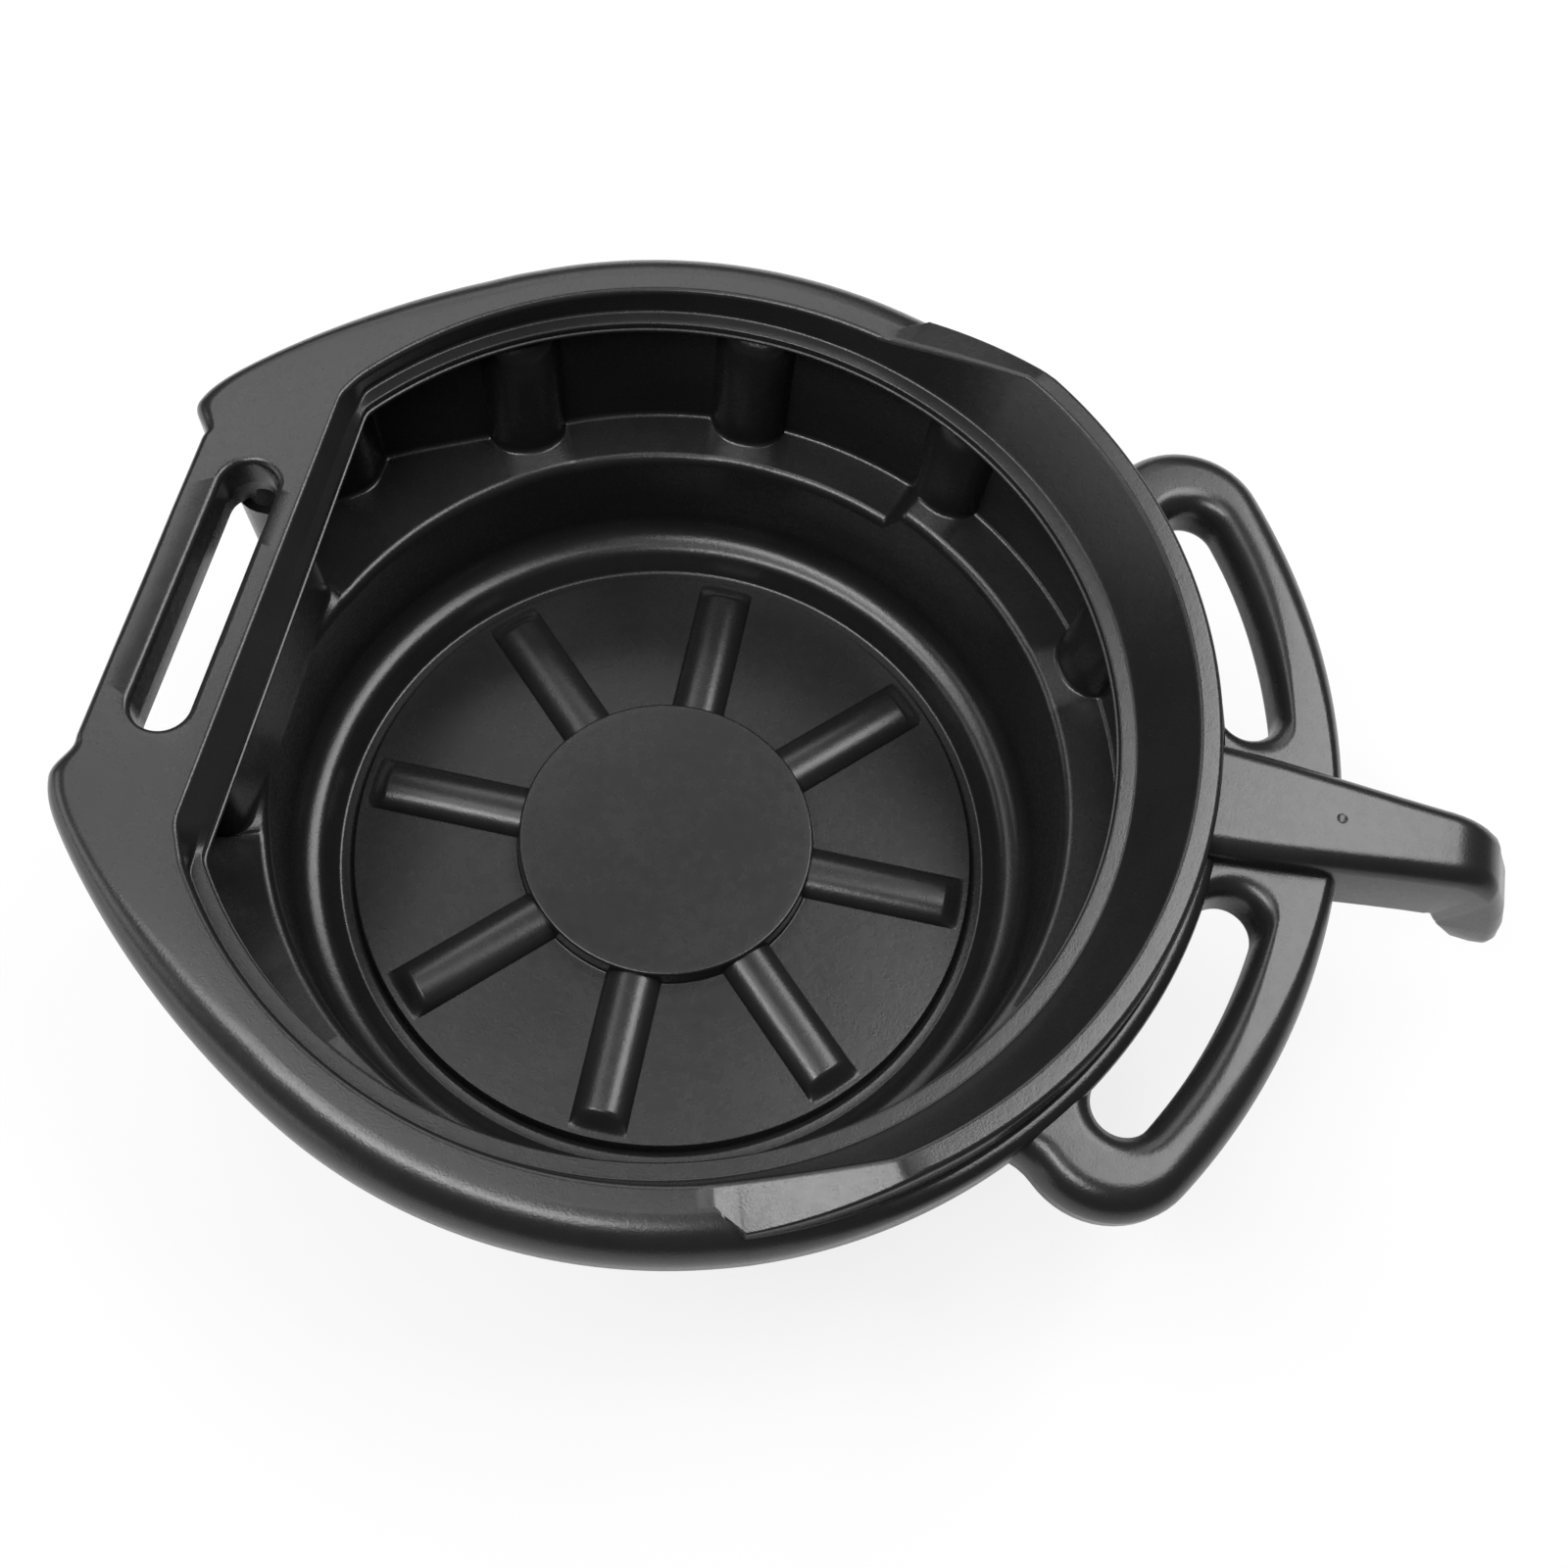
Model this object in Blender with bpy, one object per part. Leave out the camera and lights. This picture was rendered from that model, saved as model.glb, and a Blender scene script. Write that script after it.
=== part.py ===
"""Oil drain pan: a round bowl with a hand grip in its rim and a long arm with a D-shaped handle.

The pan is divided along its creases into closed solids, each a little apart from the next.
Metres. +X runs along the arm, +Z is up, the pan stands on z = 0, and heights below are counted from there.
"""

import math

import bmesh
import bpy
from mathutils import Vector

# Skin of the moulding, and the gaps between solids that meet face to face or flat against round
SKIN = 0.003
CLEARANCE = 0.0003
ROUND_CLEARANCE = 0.0006

# Base: floor, groove round it, shelf, disc and ribs
FLOOR_RADIUS = 0.120
GROOVE_WIDTH = 0.008
GROOVE_DEPTH = 0.006
GROOVE_DRAFT = 0.0015
SHELF_WIDTH = 0.006
SHELF_RISE = 0.002
FOOT_ROUNDING = 0.009
DISC_RADIUS = 0.057
DISC_RISE = 0.0077
DISC_ROUNDING = 0.0038
RIB_COUNT = 8
RIB_WIDTH = 0.0215
RIB_RISE = 0.006
RIB_ROUNDING = 0.0045
RIB_TO_GROOVE = 0.0035

# Bowl wall: lower drum, ledge, upper drum with pillars, and a flat panel between two pockets behind the grip
LOWER_WALL_HEIGHT = 0.052
LEDGE_WIDTH = 0.021
LEDGE_FALL = 0.0025
LEDGE_LIFT = 0.0115
LEDGE_STEP_ANGLE = math.radians(65)
LEDGE_STEP_SPAN = math.radians(3)
LEDGE_LEAST_WIDTH = 0.003
SHOULDER_ROUNDING = 0.002
UPPER_WALL_HEIGHT = 0.079
WALL_DRAFT = 0.003
WALL_STRAIGHT_FROM = math.radians(117)
PANEL_INSET = 0.0015
PANEL_WIDTH = 0.092
PANEL_EDGE_ROUNDING = 0.009
POCKET_LENGTH = 0.035
POCKET_DEPTH = 0.024
POCKET_CORNER_DEPTH = 0.0155
PILLAR_FIRST = math.radians(29)
PILLAR_SPACING = math.radians(31)
PILLAR_WIDTH = 0.027
PILLAR_DEPTH = 0.010
PILLAR_TOP_ROUNDING = 0.007
CORNER_PILLAR_RADIUS = 0.017

# Rim: lip, funnel, flange and its raised half
LIP_OVERHANG = 0.0115
LIP_BAND = 0.0048
LIP_BAND_RISE = 0.0015
FUNNEL_RUN = 0.0057
FUNNEL_DROP = 0.010
RIM_WIDTH = 0.022
RIM_DEPTH = 0.024
RIM_ROUNDING = 0.0145
RIM_UNDER_ROUNDING = 0.005
RIM_LIFT = 0.015
RAISED_SETBACK = 0.006
RAISED_WIDTH = 0.008
RAISED_ROUNDING = 0.004
RAMP_START = math.radians(72)
RAMP_END = math.radians(56)
RAMP_LEAST = 0.0008

# Grip: straight side of the opening, slot and corner nubs
PANEL_TO_CREST = 0.003
PANEL_TO_LIP = 0.0105
PANEL_TO_SLOT = 0.0035
SLOT_LENGTH = 0.103
SLOT_WIDTH = 0.020
GRIP_BAR = 0.015
NUB_PROUD = 0.007
NUB_MARGIN = 0.021
NUB_LENGTH = 0.006
NUB_ROUNDING = 0.002
NOTCH_RUN = 0.005
FLARE_FROM = math.radians(118)
GRIP_EDGE_ROUNDING = 0.0015
GRIP_EDGE_ANGLE = math.radians(70)
GRIP_BEFORE_CORNER = math.radians(3.6)

# Arm, hook and the two bars of the D-shaped handle
ARM_ABOVE_FLANGE = 0.007
ARM_DEPTH = 0.033
ARM_REACH = 0.077
ARM_ROOT_WIDTH = 0.041
ARM_MID_WIDTH = 0.033
ARM_TIP_WIDTH = 0.019
ARM_ROUNDING = 0.005
HOOK_REACH = 0.029
HOOK_BELOW_ARM = 0.017
HOOK_THICKNESS = 0.013
HOOK_CROWN = 0.009
HOOK_THROAT = 0.007
HOOK_ROUNDING = 0.004
HOOK_SIDE_ROUNDING = 0.0025
LOOP_GAP = 0.020
LOOP_BAR = 0.021
LOOP_DEPTH = 0.021
LOOP_BELOW_FLANGE = 0.002
LOOP_ROUNDING = 0.007
LOOP_ROOT_ANGLE = math.radians(41)
LOOP_INNER_CORNER = 0.0035
GUSSET_WIDTH = 0.0135
GUSSET_HOLLOW = 0.3

# Fineness of the facets
COLUMN_STEP = math.radians(4)
ARC_STEPS = 4
CHORD_COLUMNS = 20
POCKET_STEPS = 3
DISC_COLUMNS = 48
LOOP_ARC_STEPS = 3
SHARP_ANGLE = math.radians(40)

# The largest share of a wall that a rounding on it takes
MOST_OF_WALL = 0.8

# Radii and heights that follow from the sizes above
GROOVE_RADIUS = FLOOR_RADIUS + GROOVE_WIDTH
FOOT_RADIUS = GROOVE_RADIUS + SHELF_WIDTH
LOWER_RADIUS = FOOT_RADIUS + FOOT_ROUNDING
UPPER_RADIUS = LOWER_RADIUS + LEDGE_WIDTH
LIP_RADIUS = UPPER_RADIUS - LIP_OVERHANG
BAND_RADIUS = LIP_RADIUS + LIP_BAND
CREST_RADIUS = BAND_RADIUS + FUNNEL_RUN
FLANGE_RADIUS = CREST_RADIUS + RIM_WIDTH
RAISED_RADIUS = FLANGE_RADIUS - RAISED_SETBACK
RAISED_CREST_RADIUS = RAISED_RADIUS - RAISED_WIDTH
LOOP_INNER = FLANGE_RADIUS + LOOP_GAP
LOOP_MIDDLE = LOOP_INNER + LOOP_BAR / 2
LOOP_CORNER = LOOP_INNER_CORNER + LOOP_BAR / 2

FLOOR_Z = SKIN + GROOVE_DEPTH
SHELF_Z = FLOOR_Z + SHELF_RISE
LEDGE_Z = FLOOR_Z + LOWER_WALL_HEIGHT
FLANGE_Z = LEDGE_Z + UPPER_WALL_HEIGHT
FLANGE_UNDER_Z = FLANGE_Z - RIM_DEPTH
LIP_Z = FLANGE_Z - FUNNEL_DROP
BAND_Z = LIP_Z + LIP_BAND_RISE
RAISED_Z = FLANGE_Z + RIM_LIFT
ARM_Z = FLANGE_Z + ARM_ABOVE_FLANGE
ARM_UNDER_Z = ARM_Z - ARM_DEPTH
HOOK_Z = ARM_UNDER_Z - HOOK_BELOW_ARM
LOOP_Z = FLANGE_Z - LOOP_BELOW_FLANGE
LOOP_UNDER_Z = LOOP_Z - LOOP_DEPTH

PANEL_X = LOWER_RADIUS - PANEL_INSET
POCKET_X = PANEL_X + POCKET_DEPTH
POCKET_CORNER_X = PANEL_X + POCKET_CORNER_DEPTH
POCKET_END_Y = PANEL_WIDTH / 2 + PANEL_EDGE_ROUNDING
CREST_X = PANEL_X - PANEL_TO_CREST
LIP_X = PANEL_X - PANEL_TO_LIP
BAND_X = LIP_X + LIP_BAND
SLOT_X = PANEL_X + PANEL_TO_SLOT + SLOT_WIDTH / 2
GRIP_X = SLOT_X + SLOT_WIDTH / 2 + GRIP_BAR
NUB_X = GRIP_X + NUB_PROUD
NUB_Y = SLOT_LENGTH / 2 + NUB_MARGIN
ARM_START_X = FLANGE_RADIUS + CLEARANCE
HOOK_X = ARM_START_X + ARM_REACH
TIP_X = HOOK_X + HOOK_REACH
BOWL_AXIS_X = (NUB_X - TIP_X) / 2

# The funnel's back face, where the flange and the raised rim begin behind it
BACK_FOOT_RADIUS = BAND_RADIUS + SKIN
BACK_FOOT_Z = BAND_Z - SKIN / 2
FUNNEL_SHARE = (FLANGE_Z - BACK_FOOT_Z) / (RAISED_Z - BACK_FOOT_Z)
RAISED_BACK_RADIUS = BACK_FOOT_RADIUS + (RAISED_CREST_RADIUS - BAND_RADIUS) * FUNNEL_SHARE
FLANGE_INNER = max(CREST_RADIUS + SKIN, RAISED_BACK_RADIUS) + CLEARANCE


def clear_scene():
    for obj in list(bpy.data.objects):
        bpy.data.objects.remove(obj, do_unlink=True)


def black_plastic():
    """The one plastic that the pan is blown from, black and nearly matte."""
    material = bpy.data.materials.new("black_plastic")
    material.use_nodes = True
    shader = material.node_tree.nodes["Principled BSDF"]
    shader.inputs["Base Color"].default_value = (0.024, 0.024, 0.025, 1)
    shader.inputs["Roughness"].default_value = 0.42
    shader.inputs["Metallic"].default_value = 0
    return material


def add_node(name, bm, material, frame):
    """Makes a named object of a closed bmesh, shaded smooth except at its sharp edges."""
    bmesh.ops.recalc_face_normals(bm, faces=bm.faces)
    mesh = bpy.data.meshes.new(name)
    bm.to_mesh(mesh)
    bm.free()
    mesh.shade_smooth()
    mesh.set_sharp_from_angle(angle=SHARP_ANGLE)
    mesh.materials.append(material)
    node = bpy.data.objects.new(name, mesh)
    bpy.context.collection.objects.link(node)
    node.parent = frame
    return node


def polar(radius, angle, z):
    return Vector((radius * math.cos(angle), radius * math.sin(angle), z))


def arc(centre, radius, start, end, steps=ARC_STEPS):
    """Points of an arc in a plane, ends included, as (u, v) pairs."""
    points = []
    for i in range(steps + 1):
        angle = start + (end - start) * i / steps
        points.append((centre[0] + radius * math.cos(angle), centre[1] + radius * math.sin(angle)))
    return points


def tube(loops, closed=True):
    """A solid from loops of points that go round its section, with capped ends unless it closes on itself."""
    bm = bmesh.new()
    rows = [[bm.verts.new(point) for point in loop] for loop in loops]
    columns = len(rows[0])
    for row, following in zip(rows, rows[1:] + rows[:1]):
        for i in range(columns if closed else columns - 1):
            j = (i + 1) % columns
            bm.faces.new((row[i], row[j], following[j], following[i]))
    if not closed:
        bm.faces.new([row[0] for row in rows])
        bm.faces.new([row[-1] for row in reversed(rows)])
    return bm


def stack(loops):
    """A solid from closed loops laid one after the other, with a flat cap on the first and on the last."""
    bm = bmesh.new()
    rows = [[bm.verts.new(point) for point in loop] for loop in loops]
    for row, following in zip(rows, rows[1:]):
        for i in range(len(row)):
            j = (i + 1) % len(row)
            bm.faces.new((row[i], row[j], following[j], following[i]))
    bm.faces.new(rows[0])
    bm.faces.new(rows[-1])
    return bm


def prism(outline, low, high):
    """A solid from a plan outline of (x, y) pairs."""
    return stack([[Vector((x, y, z)) for x, y in outline] for z in (low, high)])


def mirrored(points):
    return [Vector((p[0], -p[1], p[2])) for p in points]


def corner_y(radius, chord_x):
    """Where the upper wall's straight run meets a line at x = -chord_x."""
    start = polar(radius, WALL_STRAIGHT_FROM, 0)
    run = (chord_x + start.x) / math.sin(WALL_STRAIGHT_FROM)
    return start.y + run * math.cos(WALL_STRAIGHT_FROM)


CORNER_ANGLE = math.atan2(corner_y(UPPER_RADIUS, PANEL_X), -PANEL_X)
GRIP_FROM = CORNER_ANGLE - GRIP_BEFORE_CORNER
PILLARS_PER_SIDE = int((CORNER_ANGLE - PILLAR_FIRST) / PILLAR_SPACING) + 1


def round_angles():
    """Angles of the columns on the round part, with one at each kink of the ledge and of the rim."""
    half_span = LEDGE_STEP_SPAN / 2
    kinks = [RAMP_START, RAMP_END, LEDGE_STEP_ANGLE - half_span, LEDGE_STEP_ANGLE + half_span]
    kinks += [-angle for angle in kinks] + [-GRIP_FROM, GRIP_FROM]
    count = round(2 * GRIP_FROM / COLUMN_STEP)
    even = [-GRIP_FROM + 2 * GRIP_FROM * i / count for i in range(count + 1)]
    angles = []
    for angle in kinks + even:
        if all(abs(angle - other) > COLUMN_STEP / 3 for other in angles):
            angles.append(angle)
    return sorted(angles)


ANGLES = round_angles()
CHORD_SHARES = [1 - 2 * i / (CHORD_COLUMNS - 1) for i in range(CHORD_COLUMNS)]


def step_share(angle):
    """0 on the low part of the ledge, 1 on the high part at the arm."""
    past = LEDGE_STEP_ANGLE + LEDGE_STEP_SPAN / 2 - abs(angle)
    return min(max(past / LEDGE_STEP_SPAN, 0), 1)


def ramp_share(angle):
    """0 on the plain rim, 1 on the raised rim."""
    return min(max((RAMP_START - abs(angle)) / (RAMP_START - RAMP_END), 0), 1)


def ledge_z(angle):
    return LEDGE_Z + LEDGE_LIFT * step_share(angle)


def crest_z(angle):
    return FLANGE_Z + RIM_LIFT * ramp_share(angle)


def crest_radius(angle):
    return CREST_RADIUS + (RAISED_CREST_RADIUS - CREST_RADIUS) * ramp_share(angle)


def wall_radius(radius, angle):
    """The upper wall in plan: round, then straight along the tangent towards the panel's corner."""
    return radius / math.cos(max(abs(angle) - WALL_STRAIGHT_FROM, 0))


def panel_side(radius, out):
    """Plan of the wall's far half behind the grip: the pocket's corner, back and end, then the panel's edge.

    out moves the face outwards.
    """
    corner_x = POCKET_CORNER_X + out
    corner = (-corner_x, corner_y(radius + out, corner_x))
    back_x = POCKET_X + out
    plan = [corner]
    for i in range(POCKET_STEPS + 1):
        plan.append((-back_x, POCKET_END_Y - out + (POCKET_LENGTH + out) * (1 - i / POCKET_STEPS)))
    middle = (-PANEL_X - PANEL_EDGE_ROUNDING, PANEL_WIDTH / 2)
    return plan + arc(middle, PANEL_EDGE_ROUNDING - out, math.pi / 2, 0)


def flange_radius(angle):
    """The rim's outline: round, then flaring out to the nubs beside the grip."""
    nub_angle = math.atan2(NUB_Y, -NUB_X)
    share = max(abs(angle) - FLARE_FROM, 0) / (nub_angle - FLARE_FROM)
    return FLANGE_RADIUS + (math.hypot(NUB_X, NUB_Y) - FLANGE_RADIUS) * share**2


def circle_loop(radius, height):
    """A loop of columns on a circle; height gives z at an angle."""
    spread = (math.pi - GRIP_FROM) * (CHORD_COLUMNS - 1) / (CHORD_COLUMNS + 1)
    left = [math.pi - spread * share for share in CHORD_SHARES]
    return [polar(radius, angle, height(angle)) for angle in ANGLES + left]


def chord_loop(radius, chord_x, height):
    """A circle with its grip side cut off straight; radius gives the circle at an angle."""
    end_y = math.sqrt(radius(math.pi) ** 2 - chord_x**2)
    loop = [polar(radius(angle), angle, height(angle)) for angle in ANGLES]
    return loop + [Vector((-chord_x, end_y * share, height(math.pi))) for share in CHORD_SHARES]


def wall_loop(radius, out, height):
    """The upper wall in plan: round, straight to the pockets, and in to the panel between them."""
    far = panel_side(radius, out)
    loop = [polar(wall_radius(radius + out, angle), angle, height(angle)) for angle in ANGLES]
    behind_grip = far + [(x, -y) for x, y in reversed(far)]
    return loop + [Vector((x, y, height(math.pi))) for x, y in behind_grip]


def at(value):
    """A height or radius that is the same at every angle."""
    return lambda angle: value


def round_plate(profile, columns):
    """A solid of revolution from an (r, z) profile that starts and ends on flat caps round the axis."""
    turns = [2 * math.pi * i / columns for i in range(columns)]
    return stack([[polar(r, turn, z) for turn in turns] for r, z in profile])


def make_base(material, frame):
    """Floor, groove and shelf. The underside of the groove is the ring that the pan stands on."""
    columns = round(2 * math.pi / COLUMN_STEP)
    edge = FOOT_RADIUS - CLEARANCE
    profile = [
        (FLOOR_RADIUS - SKIN, FLOOR_Z - SKIN),
        (FLOOR_RADIUS - SKIN + GROOVE_DRAFT, 0),
        (GROOVE_RADIUS + GROOVE_DRAFT, 0),
        (GROOVE_RADIUS + SKIN, SHELF_Z - SKIN),
        (edge, SHELF_Z - SKIN),
        (edge, SHELF_Z),
        (GROOVE_RADIUS, SHELF_Z),
        (GROOVE_RADIUS - GROOVE_DRAFT, SKIN),
        (FLOOR_RADIUS + GROOVE_DRAFT, SKIN),
        (FLOOR_RADIUS, FLOOR_Z),
    ]
    add_node("base_pan", round_plate(profile, columns), material, frame)


def make_disc(material, frame):
    low = FLOOR_Z + CLEARANCE
    high = FLOOR_Z + DISC_RISE
    rounding = min(DISC_ROUNDING, high - low)
    crown = arc((DISC_RADIUS - rounding, high - rounding), rounding, 0, math.pi / 2)
    add_node("floor_disc", round_plate([(DISC_RADIUS, low)] + crown, DISC_COLUMNS), material, frame)


def make_ribs(material, frame):
    inner = DISC_RADIUS + CLEARANCE
    outer = FLOOR_RADIUS - RIB_TO_GROOVE
    low = FLOOR_Z + CLEARANCE
    high = FLOOR_Z + RIB_RISE
    half = RIB_WIDTH / 2
    for number in range(RIB_COUNT):
        bm = prism([(inner, -half), (outer, -half), (outer, half), (inner, half)], low, high)
        top = [edge for edge in bm.edges if all(vert.co.z > (low + high) / 2 for vert in edge.verts)]
        rounded = [edge for edge in top if max(vert.co.x for vert in edge.verts) > inner + half]
        rounding = min(RIB_ROUNDING, (high - low) * MOST_OF_WALL, half * MOST_OF_WALL)
        bmesh.ops.bevel(bm, geom=rounded, offset=rounding, segments=3, profile=0.5, affect="EDGES")
        node = add_node(f"floor_rib_{number + 1}", bm, material, frame)
        node.rotation_euler.z = 2 * math.pi * number / RIB_COUNT


def make_lower_wall(material, frame):
    def top(angle):
        return ledge_z(angle) - SKIN - CLEARANCE

    middle = (FOOT_RADIUS, SHELF_Z + FOOT_ROUNDING)
    inside = arc(middle, FOOT_ROUNDING, -math.pi / 2, 0)
    outside = arc(middle, FOOT_ROUNDING + SKIN, 0, -math.pi / 2)
    loops = [circle_loop(r, at(z)) for r, z in inside]
    loops.append(circle_loop(LOWER_RADIUS, top))
    loops.append(circle_loop(LOWER_RADIUS + SKIN, top))
    loops += [circle_loop(r, at(z)) for r, z in outside]
    add_node("lower_wall", tube(loops), material, frame)


def make_ledge(material, frame):
    """The step between the drums and the pockets' floors, which end where the panel leaves little width."""
    last = math.pi - math.acos((PANEL_X - LEDGE_LEAST_WIDTH) / LOWER_RADIUS)
    panel_x = PANEL_X - CLEARANCE
    far = [Vector((x, y, 0)) for x, y in panel_side(UPPER_RADIUS, -CLEARANCE)]
    far.append(Vector((-panel_x, -panel_x * math.tan(last), 0)))
    outer = [polar(wall_radius(UPPER_RADIUS - CLEARANCE, angle), angle, 0) for angle in ANGLES]
    outer = mirrored(reversed(far)) + outer + far
    first = math.atan2(far[0].y, far[0].x)
    behind_grip = [first + (last - first) * i / (len(far) - 1) for i in range(len(far))]
    angles = [-angle for angle in reversed(behind_grip)] + ANGLES + behind_grip

    def row(points, rise):
        return [point + Vector((0, 0, ledge_z(angle) + rise)) for point, angle in zip(points, angles)]

    inner = [polar(LOWER_RADIUS, angle, 0) for angle in angles]
    shoulder = [polar(LOWER_RADIUS + SHOULDER_ROUNDING, angle, 0) for angle in angles]
    loops = [
        row(inner, -SKIN),
        row(inner, -SHOULDER_ROUNDING),
        row(shoulder, 0),
        row(outer, LEDGE_FALL),
        row(outer, LEDGE_FALL - SKIN),
    ]
    add_node("wall_ledge", tube(loops, closed=False), material, frame)


def make_upper_wall(material, frame):
    def bottom(angle):
        return ledge_z(angle) - SKIN

    top = at(FLANGE_UNDER_Z - CLEARANCE)
    loops = [
        wall_loop(UPPER_RADIUS, 0, bottom),
        wall_loop(UPPER_RADIUS + WALL_DRAFT, 0, top),
        wall_loop(UPPER_RADIUS + WALL_DRAFT, SKIN, top),
        wall_loop(UPPER_RADIUS, SKIN, bottom),
    ]
    add_node("upper_wall", tube(loops), material, frame)


def pillar_heights(foot_z):
    """(height, share of the full section) up a pillar with a rounded top."""
    top = FLANGE_UNDER_Z - CLEARANCE
    heights = [(foot_z, 1), (top - PILLAR_TOP_ROUNDING, 1)]
    for i in range(1, ARC_STEPS):
        turn = math.pi / 2 * i / ARC_STEPS
        heights.append((top - PILLAR_TOP_ROUNDING * (1 - math.sin(turn)), math.cos(turn)))
    return heights


def wall_lean(z):
    """How far the upper wall has drawn outwards at height z."""
    return WALL_DRAFT * (z - LEDGE_Z) / (FLANGE_UNDER_Z - LEDGE_Z)


def wall_pillar(angle):
    """Loops of a half-oval column that stands against the upper wall."""
    square = min(angle, WALL_STRAIGHT_FROM)
    inwards = polar(-1, square, 0)
    across = polar(1, square + math.pi / 2, 0)
    behind = (PILLAR_WIDTH / 2) ** 2 / (2 * UPPER_RADIUS) + ROUND_CLEARANCE
    steps = 2 * ARC_STEPS
    loops = []
    for z, share in pillar_heights(ledge_z(angle) + LEDGE_FALL + CLEARANCE):
        foot = polar(wall_radius(UPPER_RADIUS + wall_lean(z), angle), angle, z) + inwards * behind
        loop = []
        for i in range(steps + 1):
            turn = math.pi * (i / steps - 0.5)
            deep = PILLAR_DEPTH * share * math.cos(turn)
            loop.append(foot + inwards * deep - across * (PILLAR_WIDTH / 2 * share * math.sin(turn)))
        loops.append(loop)
    return loops


def corner_pillar():
    """Loops of the column that fills the corner between the wall's straight run and the pocket's back."""
    corner_x, corner_y = panel_side(UPPER_RADIUS, 0)[0]
    back_x, back_y = panel_side(UPPER_RADIUS, 0)[1]
    start = math.atan2(back_y - corner_y, back_x - corner_x)
    end = WALL_STRAIGHT_FROM - math.pi / 2
    inset = polar(ROUND_CLEARANCE / math.sin((end - start) / 2), (start + end) / 2, 0)
    steps = 2 * ARC_STEPS
    loops = []
    for z, share in pillar_heights(LEDGE_Z + LEDGE_FALL + CLEARANCE):
        loop = [Vector((corner_x, corner_y, z)) + inset]
        for i in range(steps + 1):
            loop.append(loop[0] + polar(CORNER_PILLAR_RADIUS * share, start + (end - start) * i / steps, 0))
        loops.append(loop)
    return loops


def make_pillars(material, frame):
    angles = [PILLAR_FIRST + PILLAR_SPACING * place for place in range(PILLARS_PER_SIDE)]
    far = [wall_pillar(angle) for angle in angles] + [corner_pillar()]
    near = [[mirrored(loop) for loop in loops] for loops in far]
    for number, loops in enumerate(far + near, 1):
        add_node(f"wall_pillar_{number}", stack(loops), material, frame)


def make_lip(material, frame):
    """Cut edge of the opening and the funnel above it, a bent strip as thick as the skin."""
    loops = [
        chord_loop(at(LIP_RADIUS), LIP_X, at(LIP_Z - SKIN)),
        chord_loop(at(LIP_RADIUS), LIP_X, at(LIP_Z)),
        chord_loop(at(BAND_RADIUS), BAND_X, at(BAND_Z)),
        chord_loop(crest_radius, CREST_X, crest_z),
        chord_loop(lambda angle: crest_radius(angle) + SKIN, CREST_X + SKIN, crest_z),
        chord_loop(at(BACK_FOOT_RADIUS), BAND_X + SKIN, at(BACK_FOOT_Z)),
    ]
    add_node("splash_lip", tube(loops), material, frame)


def make_flange(material, frame):
    def row(radius, z):
        return [polar(radius(angle), angle, z) for angle in ANGLES]

    def outer(inset):
        return lambda angle: flange_radius(angle) - inset

    loops = [row(at(FLANGE_INNER), FLANGE_UNDER_Z), row(at(FLANGE_INNER), FLANGE_Z)]
    for u, v in arc((-RIM_ROUNDING, -RIM_ROUNDING), RIM_ROUNDING, math.pi / 2, 0):
        loops.append(row(outer(-u), FLANGE_Z + v))
    loops.append(row(outer(0), FLANGE_UNDER_Z + RIM_UNDER_ROUNDING))
    loops.append(row(outer(RIM_UNDER_ROUNDING), FLANGE_UNDER_Z))
    add_node("rim_flange", tube(loops, closed=False), material, frame)


def make_raised_rim(material, frame):
    angles = [angle for angle in ANGLES if abs(angle) <= RAMP_START]
    low = FLANGE_Z + CLEARANCE
    sections = []
    for angle in angles:
        high = max(crest_z(angle), low + RAMP_LEAST)
        back = crest_radius(angle) + SKIN + ROUND_CLEARANCE
        rise = max(crest_z(angle) - BACK_FOOT_Z, low - BACK_FOOT_Z)
        foot = BACK_FOOT_RADIUS + (crest_radius(angle) - BAND_RADIUS) * (low - BACK_FOOT_Z) / rise
        rounding = min(RAISED_ROUNDING, (high - low) / 2, (RAISED_RADIUS - back) * MOST_OF_WALL)
        section = [(foot + ROUND_CLEARANCE, low), (back, high)]
        section += arc((RAISED_RADIUS - rounding, high - rounding), rounding, math.pi / 2, 0)
        section.append((RAISED_RADIUS, low))
        sections.append([polar(r, angle, z) for r, z in section])
    add_node("raised_rim", tube([list(row) for row in zip(*sections)], closed=False), material, frame)


def slot_cutter(frame):
    """A prism with round ends, longer than the flange is deep."""
    radius = SLOT_WIDTH / 2
    straight = SLOT_LENGTH / 2 - radius
    outline = arc((-SLOT_X, straight), radius, 0, math.pi, 2 * ARC_STEPS)
    outline += arc((-SLOT_X, -straight), radius, math.pi, 2 * math.pi, 2 * ARC_STEPS)
    bm = prism(outline, FLANGE_UNDER_Z - SKIN, FLANGE_Z + SKIN)
    bmesh.ops.recalc_face_normals(bm, faces=bm.faces)
    mesh = bpy.data.meshes.new("slot_cutter")
    bm.to_mesh(mesh)
    bm.free()
    cutter = bpy.data.objects.new("slot_cutter", mesh)
    bpy.context.collection.objects.link(cutter)
    cutter.parent = frame
    cutter.hide_render = True
    cutter.display_type = "WIRE"
    return cutter


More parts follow.
